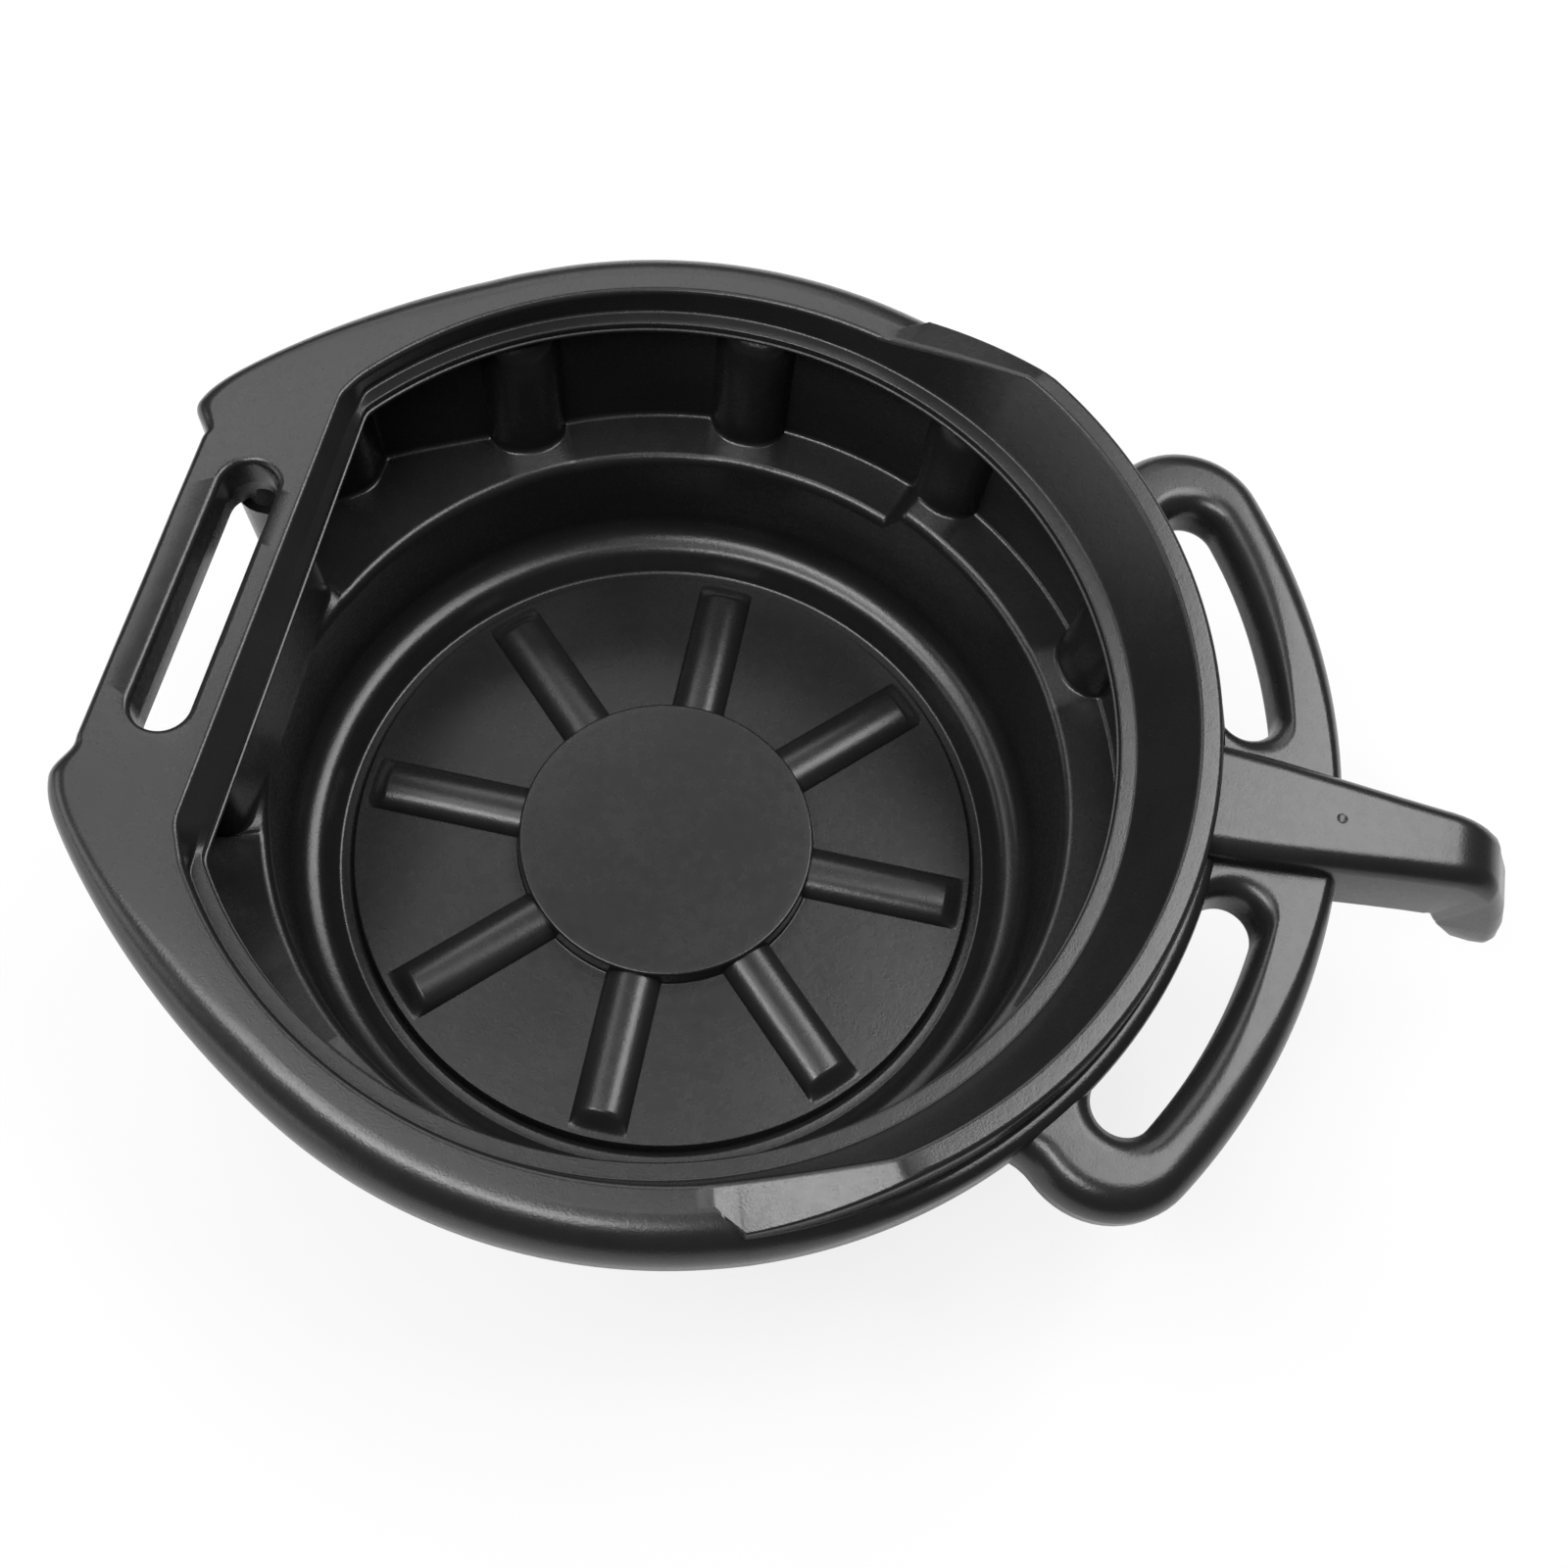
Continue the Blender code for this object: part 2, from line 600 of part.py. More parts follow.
def make_grip(material, frame):
    """The wide end of the rim: flared outline, nubs, straight bar, and the slot cut through it."""
    first = GRIP_FROM + CLEARANCE / FLANGE_INNER
    nub_angle = math.atan2(NUB_Y, -NUB_X)
    chord = CREST_X + SKIN + CLEARANCE
    half = [tuple(polar(FLANGE_INNER, first, 0)[:2])]
    for i in range(ARC_STEPS):
        angle = first + (nub_angle - first) * i / ARC_STEPS
        half.append(tuple(polar(flange_radius(angle), angle, 0)[:2]))
    nub_end = NUB_Y - NUB_LENGTH
    half += [(-NUB_X + NUB_ROUNDING, NUB_Y), (-NUB_X, NUB_Y - NUB_ROUNDING), (-NUB_X, nub_end)]
    half.append((-GRIP_X, nub_end - NOTCH_RUN))
    inner = [(-chord, math.sqrt(FLANGE_INNER**2 - chord**2))]
    far = inner + half
    near = [(x, -y) for x, y in reversed(far)]
    grip = add_node("grip_flange", prism(far + near, FLANGE_UNDER_Z, FLANGE_Z), material, frame)
    cut = grip.modifiers.new("slot", "BOOLEAN")
    cut.operation = "DIFFERENCE"
    cut.solver = "EXACT"
    cut.object = slot_cutter(frame)
    edges = grip.modifiers.new("edges", "BEVEL")
    edges.width = GRIP_EDGE_ROUNDING
    edges.segments = 2
    edges.limit_method = "ANGLE"
    edges.angle_limit = GRIP_EDGE_ANGLE


def arm_half_width(x):
    """Half the arm's width at x, in two straight tapers."""
    middle = (ARM_START_X + HOOK_X) / 2
    if x < middle:
        share = (x - ARM_START_X) / (middle - ARM_START_X)
        return (ARM_ROOT_WIDTH + (ARM_MID_WIDTH - ARM_ROOT_WIDTH) * share) / 2
    share = (x - middle) / (HOOK_X - middle)
    return (ARM_MID_WIDTH + (ARM_TIP_WIDTH - ARM_MID_WIDTH) * share) / 2


def arm_section(x, low, high):
    """The arm's cross-section at x, with rounded upper edges."""
    half = arm_half_width(x)
    rounding = min(ARM_ROUNDING, (ARM_ABOVE_FLANGE - CLEARANCE) * MOST_OF_WALL)
    corner = arc((half - rounding, high - rounding), rounding, 0, math.pi / 2)
    right = [(half, low)] + corner
    return [Vector((x, y, z)) for y, z in right + [(-y, z) for y, z in reversed(right)]]


def make_arm(material, frame):
    """The arm's beam. Its top reaches over the flange's ledge to the raised rim."""
    middle = (ARM_START_X + HOOK_X) / 2
    over = [RAISED_RADIUS + CLEARANCE, ARM_START_X]
    pad_low = FLANGE_Z + CLEARANCE
    loops = [arm_section(x, pad_low, ARM_Z) for x in over]
    loops += [arm_section(x, ARM_UNDER_Z, ARM_Z) for x in (ARM_START_X, middle, HOOK_X - CLEARANCE)]
    add_node("pull_arm", stack(loops), material, frame)


def make_hook(material, frame):
    """The arm's end, turned down: a side outline as thick as the arm's tip is wide, with rounded sides."""
    inner_x = TIP_X - HOOK_THICKNESS
    side = [(HOOK_X, ARM_UNDER_Z), (HOOK_X, ARM_Z)]
    side += [(HOOK_X + HOOK_CROWN - HOOK_ROUNDING, ARM_Z), (HOOK_X + HOOK_CROWN, ARM_Z - HOOK_ROUNDING)]
    side += [(TIP_X, HOOK_Z + HOOK_ROUNDING), (TIP_X - HOOK_ROUNDING, HOOK_Z)]
    side += [(inner_x + HOOK_ROUNDING / 2, HOOK_Z), (inner_x - HOOK_ROUNDING / 2, HOOK_Z + HOOK_ROUNDING)]
    side.append((HOOK_X + HOOK_THROAT, ARM_UNDER_Z))
    half = ARM_TIP_WIDTH / 2
    bm = stack([[Vector((x, y, z)) for x, z in side] for y in (-half, half)])
    rounded = []
    for edge in bm.edges:
        first, second = (vert.co for vert in edge.verts)
        if first.y * second.y > 0 and max(first.x, second.x) > HOOK_X + CLEARANCE:
            rounded.append(edge)
    bmesh.ops.bevel(bm, geom=rounded, offset=HOOK_SIDE_ROUNDING, segments=2, profile=0.5, affect="EDGES")
    add_node("arm_hook", bm, material, frame)


def loop_section(centre, heading):
    """The bar's rounded section, square to its heading in plan."""
    across = heading - math.pi / 2
    half = LOOP_BAR / 2
    tall = LOOP_DEPTH / 2
    middle_z = (LOOP_Z + LOOP_UNDER_Z) / 2
    points = []
    for u, v, start in ((1, 1, 0), (-1, 1, 1), (-1, -1, 2), (1, -1, 3)):
        middle = (u * (half - LOOP_ROUNDING), v * (tall - LOOP_ROUNDING))
        points += arc(middle, LOOP_ROUNDING, start * math.pi / 2, (start + 1) * math.pi / 2, LOOP_ARC_STEPS)
    section = []
    for u, v in points:
        section.append(centre + polar(u, across, middle_z + v))
    return section


def make_loops(material, frame):
    """The two bars: out from the flange, round a corner, and along an arc to the arm's side."""
    root = LOOP_ROOT_ANGLE
    outwards = polar(1, root, 0)
    aside = polar(1, root - math.pi / 2, 0)
    path = [(outwards * (FLANGE_RADIUS + CLEARANCE), root)]
    turn_middle = outwards * (LOOP_MIDDLE - LOOP_CORNER) + aside * LOOP_CORNER
    corner_steps = 2 * ARC_STEPS
    for i in range(corner_steps + 1):
        turn = root + math.pi / 2 - math.pi / 2 * i / corner_steps
        path.append((turn_middle + polar(LOOP_CORNER, turn, 0), turn - math.pi / 2))
    start = math.atan2(path[-1][0].y, path[-1][0].x)
    radius = path[-1][0].length
    last = math.asin(arm_half_width(LOOP_MIDDLE) / LOOP_MIDDLE)
    for i in range(1, corner_steps + 1):
        share = i / corner_steps
        angle = start + (last - start) * share
        path.append((polar(radius + (LOOP_MIDDLE - radius) * share, angle, 0), angle - math.pi / 2))
    sections = [loop_section(centre, heading) for centre, heading in path]
    for point in sections[0]:
        over = FLANGE_RADIUS + CLEARANCE - math.hypot(point.x, point.y)
        point += outwards * over
    for point in sections[-1]:
        point.y = arm_half_width(point.x) + CLEARANCE
    for name, near in (("hand_loop_far", False), ("hand_loop_near", True)):
        loops = [mirrored(section) if near else section for section in sections]
        add_node(name, stack(loops), material, frame)


def make_gussets(material, frame):
    """The webs in the corners between the arm and the rim."""
    def beside_arm(x):
        return arm_half_width(x) + CLEARANCE

    rim = FLANGE_RADIUS + ROUND_CLEARANCE
    bar = LOOP_INNER - ROUND_CLEARANCE
    first = math.asin((beside_arm(rim) + CLEARANCE) / rim)
    last = math.asin((beside_arm(rim) + GUSSET_WIDTH) / rim)
    outline = []
    for i in range(ARC_STEPS + 1):
        angle = first + (last - first) * i / ARC_STEPS
        outline.append(tuple(polar(rim, angle, 0)[:2]))
    rim_x, rim_y = outline[-1]
    foot_y = beside_arm(bar) + CLEARANCE
    foot_x = math.sqrt(bar**2 - foot_y**2)
    outline.append((rim_x + (foot_x - rim_x) * GUSSET_HOLLOW, foot_y + (rim_y - foot_y) * GUSSET_HOLLOW))
    outline.append((foot_x, foot_y))
    for name, side in (("arm_gusset_far", 1), ("arm_gusset_near", -1)):
        plan = [(x, y * side) for x, y in outline]
        low = LOOP_UNDER_Z + LOOP_ROUNDING / 2
        add_node(name, prism(plan, low, LOOP_Z - LOOP_ROUNDING / 2), material, frame)


def main():
    clear_scene()
    frame = bpy.data.objects.new("pan_frame", None)
    bpy.context.collection.objects.link(frame)
    frame.location = (BOWL_AXIS_X, 0, 0)
    plastic = black_plastic()
    make_base(plastic, frame)
    make_disc(plastic, frame)
    make_ribs(plastic, frame)
    make_lower_wall(plastic, frame)
    make_ledge(plastic, frame)
    make_upper_wall(plastic, frame)
    make_pillars(plastic, frame)
    make_lip(plastic, frame)
    make_flange(plastic, frame)
    make_grip(plastic, frame)
    make_raised_rim(plastic, frame)
    make_loops(plastic, frame)
    make_gussets(plastic, frame)
    make_arm(plastic, frame)
    make_hook(plastic, frame)


main()
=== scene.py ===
"""Oil drain pan, dressed: one blown black skin with its rim, grip and D-shaped handle, on a white table.

Metres. The pan's own axis stands at AXIS_X; +X runs along the arm and +Z is up.
"""

import math

import bpy
import numpy as np
from mathutils import Matrix, Vector


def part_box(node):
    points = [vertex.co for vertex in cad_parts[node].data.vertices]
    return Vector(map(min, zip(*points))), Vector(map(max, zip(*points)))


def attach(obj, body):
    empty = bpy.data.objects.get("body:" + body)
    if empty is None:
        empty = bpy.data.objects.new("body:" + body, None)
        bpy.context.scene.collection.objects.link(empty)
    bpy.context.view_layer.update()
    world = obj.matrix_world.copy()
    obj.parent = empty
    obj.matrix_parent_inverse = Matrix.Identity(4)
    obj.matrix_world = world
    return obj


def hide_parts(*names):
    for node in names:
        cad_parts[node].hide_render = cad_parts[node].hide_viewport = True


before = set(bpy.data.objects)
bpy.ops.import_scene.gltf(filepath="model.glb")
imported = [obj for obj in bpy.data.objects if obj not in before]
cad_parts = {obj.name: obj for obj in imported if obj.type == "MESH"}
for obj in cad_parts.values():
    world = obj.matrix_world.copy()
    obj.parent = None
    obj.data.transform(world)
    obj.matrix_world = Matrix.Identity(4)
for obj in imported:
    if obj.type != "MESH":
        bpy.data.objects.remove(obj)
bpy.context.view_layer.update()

BODY = "root"

# Sizes that the frame gives
disc_low, disc_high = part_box("floor_disc")
flange_low, flange_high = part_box("rim_flange")
_, raised_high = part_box("raised_rim")
arm_low, arm_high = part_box("pull_arm")
hook_low, hook_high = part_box("arm_hook")
loop_low, loop_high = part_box("hand_loop_far")
grip_low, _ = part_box("grip_flange")
AXIS_X = (disc_low.x + disc_high.x) / 2
DISC_RADIUS = (disc_high.x - disc_low.x) / 2
DISC_Z = disc_high.z
FLANGE_RADIUS = flange_high.y
FLANGE_Z = flange_high.z
FLANGE_UNDER_Z = flange_low.z
RAISED_RADIUS = raised_high.x - AXIS_X
RAISED_Z = raised_high.z
ARM_Z = arm_high.z
ARM_UNDER_Z = arm_low.z
TIP_X = hook_high.x - AXIS_X
HOOK_Z = hook_low.z
LOOP_Z = loop_high.z
LOOP_UNDER_Z = loop_low.z
NUB_X = AXIS_X - grip_low.x

# Floor of the bowl, from the disc out to the foot of the wall
SKIN = 0.003
MIDDLE_RADIUS = 0.014
FLOOR_Z = 0.009
DISC_EDGE_MARGIN = 0.004
DISC_EDGE_ROUNDING = 0.0011
DISC_DRAFT = 0.0008
DISC_FOOT_ROUNDING = 0.0007
FLOOR_ROWS = (0.078, 0.100)
FLOOR_RADIUS = 0.120
FLOOR_EDGE_ROUNDING = 0.0004
GROOVE_Z = 0.0032
GROOVE_IN = 0.1215
GROOVE_OUT = 0.1262
GROOVE_ROUNDING = 0.0022
SHELF_RADIUS = 0.1325
SHELF_Z = 0.0112
SHELF_RISE = 0.0034
SHELF_ROUNDING = 0.0085
FOOT_RADIUS = 0.142
FOOT_ROUNDING = 0.0110

# Underside: the ring that the pan stands on, and the skin round and inside it
RING_OUT = 0.1320
RING_IN = 0.1187
RING_ROUNDING = 0.002
RING_ROOT_OUT = 0.1340
RING_ROOT_IN = 0.117
RING_ROOT_ROUNDING = 0.0015
UNDER_FLOOR_ROW = 0.085
UNDER_DISC_DRAFT = 0.0005
UNDER_DISC_ROUNDING = 0.001
UNDER_SHELF_LIFT = 0.0005
UNDER_WALL_Z = 0.035
UNDER_WALL_DRAFT = 0.0007
UNDER_SHOULDER_ROUNDING = 0.003
UNDER_LEDGE_DROP = 0.0005
UNDER_LEDGE_ROUNDING = 0.005

# Ribs from the disc towards the groove
RIB_COUNT = 8
RIB_HALF_WIDTH = 0.0108
RIB_RISE = 0.0056
RIB_END = 0.1180
RIB_END_SLOPE = 0.008
RIB_SUNK = 0.001
RIB_LEAST = 0.005
RIB_CROWN = (2.3, 0.72)

# Walls
LOWER_RADIUS = 0.1435
LEDGE_Z = 0.061
LEDGE_LIFT = 0.0115
LEDGE_SLOPE = 0.0027
LEDGE_STEP = math.radians(65)
LEDGE_STEP_SPAN = math.radians(1.6)
SHOULDER_ROUNDING = 0.0045
LEDGE_ROUNDING = 0.0025
SHOULDER_SETBACK = 0.0004
UPPER_RADIUS = 0.164
WALL_DRAFT = 0.0035
WALL_TOP_Z = 0.121
WALL_TOP_RISE = 0.002
WALL_TOP_ROUNDING = 0.004
WALL_SHARES = (0.12, 0.3, 0.5, 0.68, 0.77, 0.84, 0.89, 0.93, 0.96, 0.98)
OUTSIDE_SHARES = (0.84, 0.6, 0.3)
STRAIGHT_FROM = math.radians(117)
POCKET_FROM = math.radians(136)
POCKET_X = 0.1655
POCKET_FAR_Y = 0.086
POCKET_NEAR_Y = 0.055
POCKET_ROUNDING = 0.005
PANEL_X = 0.1418
PANEL_EDGE_ROUNDING = 0.009
CORNER_ROOT = (-0.1385, 0.1127)
CORNER_FACE = (-0.1392, 0.0985)
CORNER_SIDE = (-0.1490, 0.0900)
CORNER_ROUNDING = 0.012
CORNER_ROOT_ROUNDING = 0.002
MOUTH_COLUMNS = np.radians((0, 136, 163.7, 171.5, 180))
MOUTH_TURNS = np.radians((0, 136, 157.5, 162, 180))
PILLARS = [math.radians(a) for a in (29, 61, 91.2, 122.3)]
PILLAR_HALF = 0.0148
PILLAR_DEEP = 0.0108
PILLAR_TOP_Z = 0.1185
PILLAR_FADE = 0.017
PILLAR_CROWN = (2.4, 0.62)

# Rim: cut edge, lip band, funnel, crest, flange
TRIM_RADIUS = 0.1549
TRIM_SHIFT = 0.0044
TRIM_X = 0.1319
TRIM_LOW_Z = 0.1260
TRIM_Z = 0.1300
TRIM_TURN = math.radians(-0.4)
CUT_PROUD = 0.0007
CUT_THICK = 0.0010
CUT_LOW_ROUNDING = 0.0004
CUT_ROUNDING = 0.0005
CUT_BACK = 0.0001
CUT_SLOPE = 0.0003
TRIM_ROUNDING = 0.0008
BAND_WIDTH = 0.0058
BAND_ROUNDING = 0.0012
CHORD_BAND_WIDTH = 0.0026
CHORD_BAND_Z = 0.1332
CREST_RADIUS = 0.163
CREST_X = 0.1397
RAISED_CREST = 0.171
CREST_TURN = math.radians(-1.1)
CREST_ROUNDING = 0.0022
RAISED_CREST_ROUNDING = 0.0018
CHORD_CREST_ROUNDING = 0.0023
CORNER_SHARPNESS = 250
CREST_RAMP = (math.radians(75.4), math.radians(56))
OUTER_RAMP = (math.radians(71.2), math.radians(54))
RAMP_WIDENS = (math.radians(73.6), math.radians(71.0))
LEDGE_RAMP = (math.radians(70), math.radians(50))
FLANGE_FLAT = 0.170
CHORD_FLAT = 0.006
FLANGE_ROUNDING = 0.0145
LEDGE_EDGE_ROUNDING = 0.0045
RAMP_FOOT = 0.001
RAMP_ROUNDING = 0.001
RAISED_FOOT = 0.0005
RAISED_FOOT_ROUNDING = 0.0008
RAISED_ROUNDING = 0.0022
SKIRT_ROUNDING = 0.005
SKIRT_DRAFT = 0.0008

# Grip: slot, straight bar and nubs
GRIP_X = 0.1798
GRIP_TURN = math.radians(-1.0)
GRIP_ROUNDING = 0.0028
NUB_ROUNDING = 0.008
NUB_Y = 0.0775
NUB_END_Y = 0.0735
NOTCH_Y = 0.0605
NUB_SHARPNESS = 70
FLARE_FROM = math.radians(118)
FLARE_ROUNDING = 0.011
NOTCH_ROUNDING = 0.007
EDGE_TURNS = np.radians((0, 118, 140, 156, 159, 162, 180))
EDGE_ROUNDINGS = (
    FLANGE_ROUNDING, FLANGE_ROUNDING, FLARE_ROUNDING, NUB_ROUNDING,
    NOTCH_ROUNDING, GRIP_ROUNDING, GRIP_ROUNDING,
)
GRIP_LIP_FROM = math.radians(150)
GRIP_LIP_SPAN = math.radians(8)
SLOT_X = 0.158
SLOT_SKEW = 0.020
SLOT_HALF_LENGTH = 0.0520
SLOT_HALF_WIDTH = 0.0096
SLOT_EDGE = 0.0026
SLOT_EDGE_ARC = ((0.10, 0.56), (0.29, 0.29), (0.56, 0.10), (1.0, 0.0))
SLOT_TOP_CLEAR = 0.0001
SLOT_BEYOND = 0.004
SLOT_SEAM_Z = (0.1285, 0.1280)
SLOT_SEAM_IN = 0.0004
SLOT_UNDER_RISE = 0.002
SLOT_UNDER_OUT = 0.0006
SLOT_STEPS = 20

# Handle
LOOP_INNER = 0.205
LOOP_OUTER = 0.226
WINDOW_FROM = math.radians(8.8)
WINDOW_TO = math.radians(35.4)
LOOP_IN_ROUNDING = 0.0085
LOOP_OUT_ROUNDING = 0.0105
LOOP_UNDER_ROUNDING = 0.006
LOOP_TOP_INSET = 0.0006
LOOP_UNDER_INSET = 0.0008
LOOP_MOST_INSET = 0.4
LOOP_CORNER_FROM = math.radians(34.5)
LOOP_CORNER_RADIUS = 0.030
LOOP_CORNER_TURN = math.radians(100)
LOOP_HOLLOW_RADIUS = 0.020
LOOP_HOLLOW_TURN = math.radians(70)
LOOP_INTO_FLANGE = 0.0008
BURIED_Y = 0.010
BURIED_DEPTH = 0.009
BAR_STEPS = 40
END_STEPS = 24
ARM_ROUNDING = 0.007
ARM_UNDER_ROUNDING = 0.003
ARM_MOST_ROUNDING = 0.6
ARM_TOP_X = (0.174, 0.200, 0.221, 0.240, 0.252)
ARM_LOW_X = (0.174, 0.200, 0.221, 0.240)
ARM_SIDES = ((1, 0.96), (1, -0.96), (0.5, -1.0), (0, -0.93), (0, 0.93), (0.5, 1.0))
CROWN_X = 0.2585
CROWN_RADIUS = 0.022
CROWN_TURNS = (math.radians(90), math.radians(20))
CROWN_STEPS = 8
TIP_STEPS = ((0.0062, 0.025), (0.0020, 0.014), (0, 0.005), (0.0004, 0.0014), (0.002, 0))
TIP_NARROWS = (0.97, 0.90)
TIP_SOFTNESS = 0.55
THROAT_FROM_X = 0.252
THROAT_X = 0.2622
THROAT_ROUNDING = 0.003
HOOK_INSIDE = (0.2668, 0.1072)
HOOK_INSIDE_ROUNDING = 0.014
HOOK_FOOT_X = (0.2752, 0.2775)
HOOK_FOOT_RISE = 0.0012
HOOK_LEAN = 0.012
DIMPLE_X = 0.2207
DIMPLE_BALL = 0.006
DIMPLE_DEPTH = 0.0003
DIMPLE_SEGMENTS = 48
DIMPLE_RINGS = 64
ARM_WIDTHS = (
    (0.176, 0.0213), (0.208, 0.0189), (0.231, 0.0162), (0.2475, 0.0146),
    (0.262, 0.0132), (0.275, 0.0124), (0.291, 0.0112),
)

# Columns round the pan, in degrees: their step, the closer ones (from, to, step) and those at a pillar's edge
COLUMN_STEP = 1.25
LEAST_COLUMN_STEP = 0.2
FINE_COLUMNS = (
    (63, 67, 0.4), (55, 57, 0.4), (71, 77, 0.25),
    (139, 164, 0.35), (164, 172, 0.4), (172, 180, 0.7),
)
PILLAR_EDGE_OUT = 0.8
PILLAR_EDGE_IN = 1.8
PILLAR_EDGE_STEP = 0.4

# Finish of the plastic
DARK_TONE = (0.009, 0.009, 0.0092, 1)
LIGHT_TONE = (0.015, 0.015, 0.0153, 1)
CLOUD_SCALE, CLOUD_DETAIL = 38, 3
GRAIN_SCALE, GRAIN_DETAIL = 1500, 2
MOTTLE_SCALE, MOTTLE_DETAIL = 260, 2
SHEEN = 0.22
CLOUD_SHEEN = 0.04
MOTTLE_SHEEN = 0.06
MOTTLE_RELIEF = 0.6
GRAIN_STRENGTH = 0.18
GRAIN_HEIGHT = 0.0003
PLASTIC_IOR = 1.5

# Table, room, lights and camera
TABLE_SIZE = 8
TABLE_PAINT = (0.86, 0.86, 0.86, 1)
TABLE_GLOW = 0.8
WHITE = (1, 1, 1, 1)
ROOM_LIGHT = 0.03
ROOM_SEEN = 0.97
ROOM_MIRRORED = 0.05
BOWL_MIDDLE = (0, 0, 0.1)
SOFTBOXES = (
    # name, place, aim, size, power in watts
    ("key", (0.60, 0.70, 1.44), (0.10, 0.815, 0.64), (1.5, 0.58), 22),
    ("back", (-0.34, 1.00, 1.30), (0.12, 0.20, 0.1), (1.3, 0.40), 4.8),
    ("low back", (-0.50, 1.40, 0.95), BOWL_MIDDLE, (1.0, 0.4), 2.8),
    ("left", (-0.78, 0.52, 1.42), BOWL_MIDDLE, (0.40, 0.35), 1.0),
    ("strip", (-0.40, 0.06, 1.50), (-0.366, 0.154, 0), (0.8, 0.34), 2.8),
    ("front", (-0.36, -0.58, 1.38), BOWL_MIDDLE, (0.9, 0.22), 11),
    ("side", (-0.74, -0.16, 1.48), BOWL_MIDDLE, (0.35, 0.35), 3.4),
    ("low side", (-1.25, -0.20, 0.68), BOWL_MIDDLE, (0.9, 0.4), 3.2),
    ("low front", (-1.5, -0.75, 0.20), (0, 0, 0.14), (1.8, 0.34), 3.8),
)
SENSOR = 36
LENS = 42.75
CAMERA_PLACE = (-0.00545, -0.27876, 0.6836)
CAMERA_AROUND = math.radians(1.17)
CAMERA_TILT = math.radians(24.97)
CAMERA_ROLL = math.radians(10.8)

# Limits that keep the sums sound
MOST_OF_SPAN = 0.97
LEAST_OF_SPAN = 0.02
LEAST_HALF_TURN = 0.05
LEAST_FACING = 0.2
FAR_AWAY = 10
TINY = 1e-9
MERGE_DISTANCE = 1e-6
SHARP_ANGLE = math.radians(50)
NORMAL_WEIGHT = 50


def clamp01(value):
    return np.clip(value, 0, 1)


def ease(share):
    """Share eased in and out."""
    share = clamp01(share)
    return share * share * (3 - 2 * share)


def polar(radius, angle, z):
    """Points round the bowl's axis."""
    angle = np.asarray(angle, float)
    x = AXIS_X + radius * np.cos(angle)
    y = radius * np.sin(angle)
    return np.stack(np.broadcast_arrays(x, y, z), axis=-1).astype(float)


def rounded_rows(knots):
    """Rows of points through the knots, each corner turned into an arc of its rounding.

    A knot is (points, rounding, steps), with one point for each column. Two arcs that meet
    on a span too short for both shrink in the same share.
    """
    count = len(knots)
    corners = [knot[0] for knot in knots]
    spans = [np.linalg.norm(corners[(i + 1) % count] - corners[i], axis=1) + TINY for i in range(count)]
    ways = [(corners[(i + 1) % count] - corners[i]) / spans[i][:, None] for i in range(count)]
    halves, reaches = [], []
    for i, (_, rounding, steps) in enumerate(knots):
        half = np.arccos(np.clip(-(ways[i - 1] * ways[i]).sum(1), -1, 1)) / 2
        halves.append(half)
        reaches.append(rounding / np.tan(np.maximum(half, LEAST_HALF_TURN)) if steps else 0 * half)
    shares = []
    for i in range(count):
        asked = reaches[i] + reaches[(i + 1) % count] + TINY
        shares.append(np.minimum(1, MOST_OF_SPAN * spans[i] / asked))
    rows = []
    for i, (corner, _, steps) in enumerate(knots):
        if not steps:
            rows.append(corner)
            continue
        reach = reaches[i] * np.minimum(shares[i - 1], shares[i])
        reach = np.maximum(reach, LEAST_OF_SPAN * np.minimum(spans[i - 1], spans[i]))[:, None]
        start = corner - ways[i - 1] * reach
        end = corner + ways[i] * reach
        weight = np.sin(halves[i])[:, None]
        for share in np.linspace(0, 1, steps + 1):
            a, b, c = (1 - share) ** 2, 2 * share * (1 - share) * weight, share**2
            rows.append((a * start + b * corner + c * end) / (a + b + c))
    return np.array(rows)


def skin(name, loops, ends):
    """Extrudes a ring once for each loop and moves its vertices onto the loops.

    ends is "poles" for fans over the first and last loop, "caps" for flat ends,
    "bridge" to close on itself.
    """
    loops = np.asarray(loops, float)
    count, points = loops.shape[:2]
    bpy.ops.object.select_all(action="DESELECT")
    bpy.ops.mesh.primitive_circle_add(vertices=points, radius=1)
    piece = bpy.context.object
    piece.name = piece.data.name = name
    bpy.ops.object.mode_set(mode="EDIT")
    bpy.ops.mesh.select_mode(type="EDGE")
    bpy.ops.mesh.select_all(action="SELECT")
    for _ in range(count - 1):
        bpy.ops.mesh.extrude_region_move(TRANSFORM_OT_translate={"value": (0, 0, 1)})
    if ends != "bridge":
        close_end(piece, count - 1, ends)
        close_end(piece, 0, ends)
    else:
        select_rows(piece, (0, count - 1))
        bpy.ops.mesh.bridge_edge_loops()
    bpy.ops.object.mode_set(mode="OBJECT")
    place = np.empty(len(piece.data.vertices) * 3)
    piece.data.vertices.foreach_get("co", place)
    place = place.reshape(-1, 3)
    rows = np.rint(place[:, 2]).astype(int)
    turns = np.arctan2(-place[:, 0], place[:, 1]) / (2 * math.pi)
    columns = np.rint(turns * points).astype(int) % points
    middle = np.hypot(place[:, 0], place[:, 1]) < 0.5
    moved = loops[rows, columns]
    moved[middle] = loops[rows[middle]].mean(axis=1)
    piece.data.vertices.foreach_set("co", moved.ravel())
    piece.data.update()
    return piece


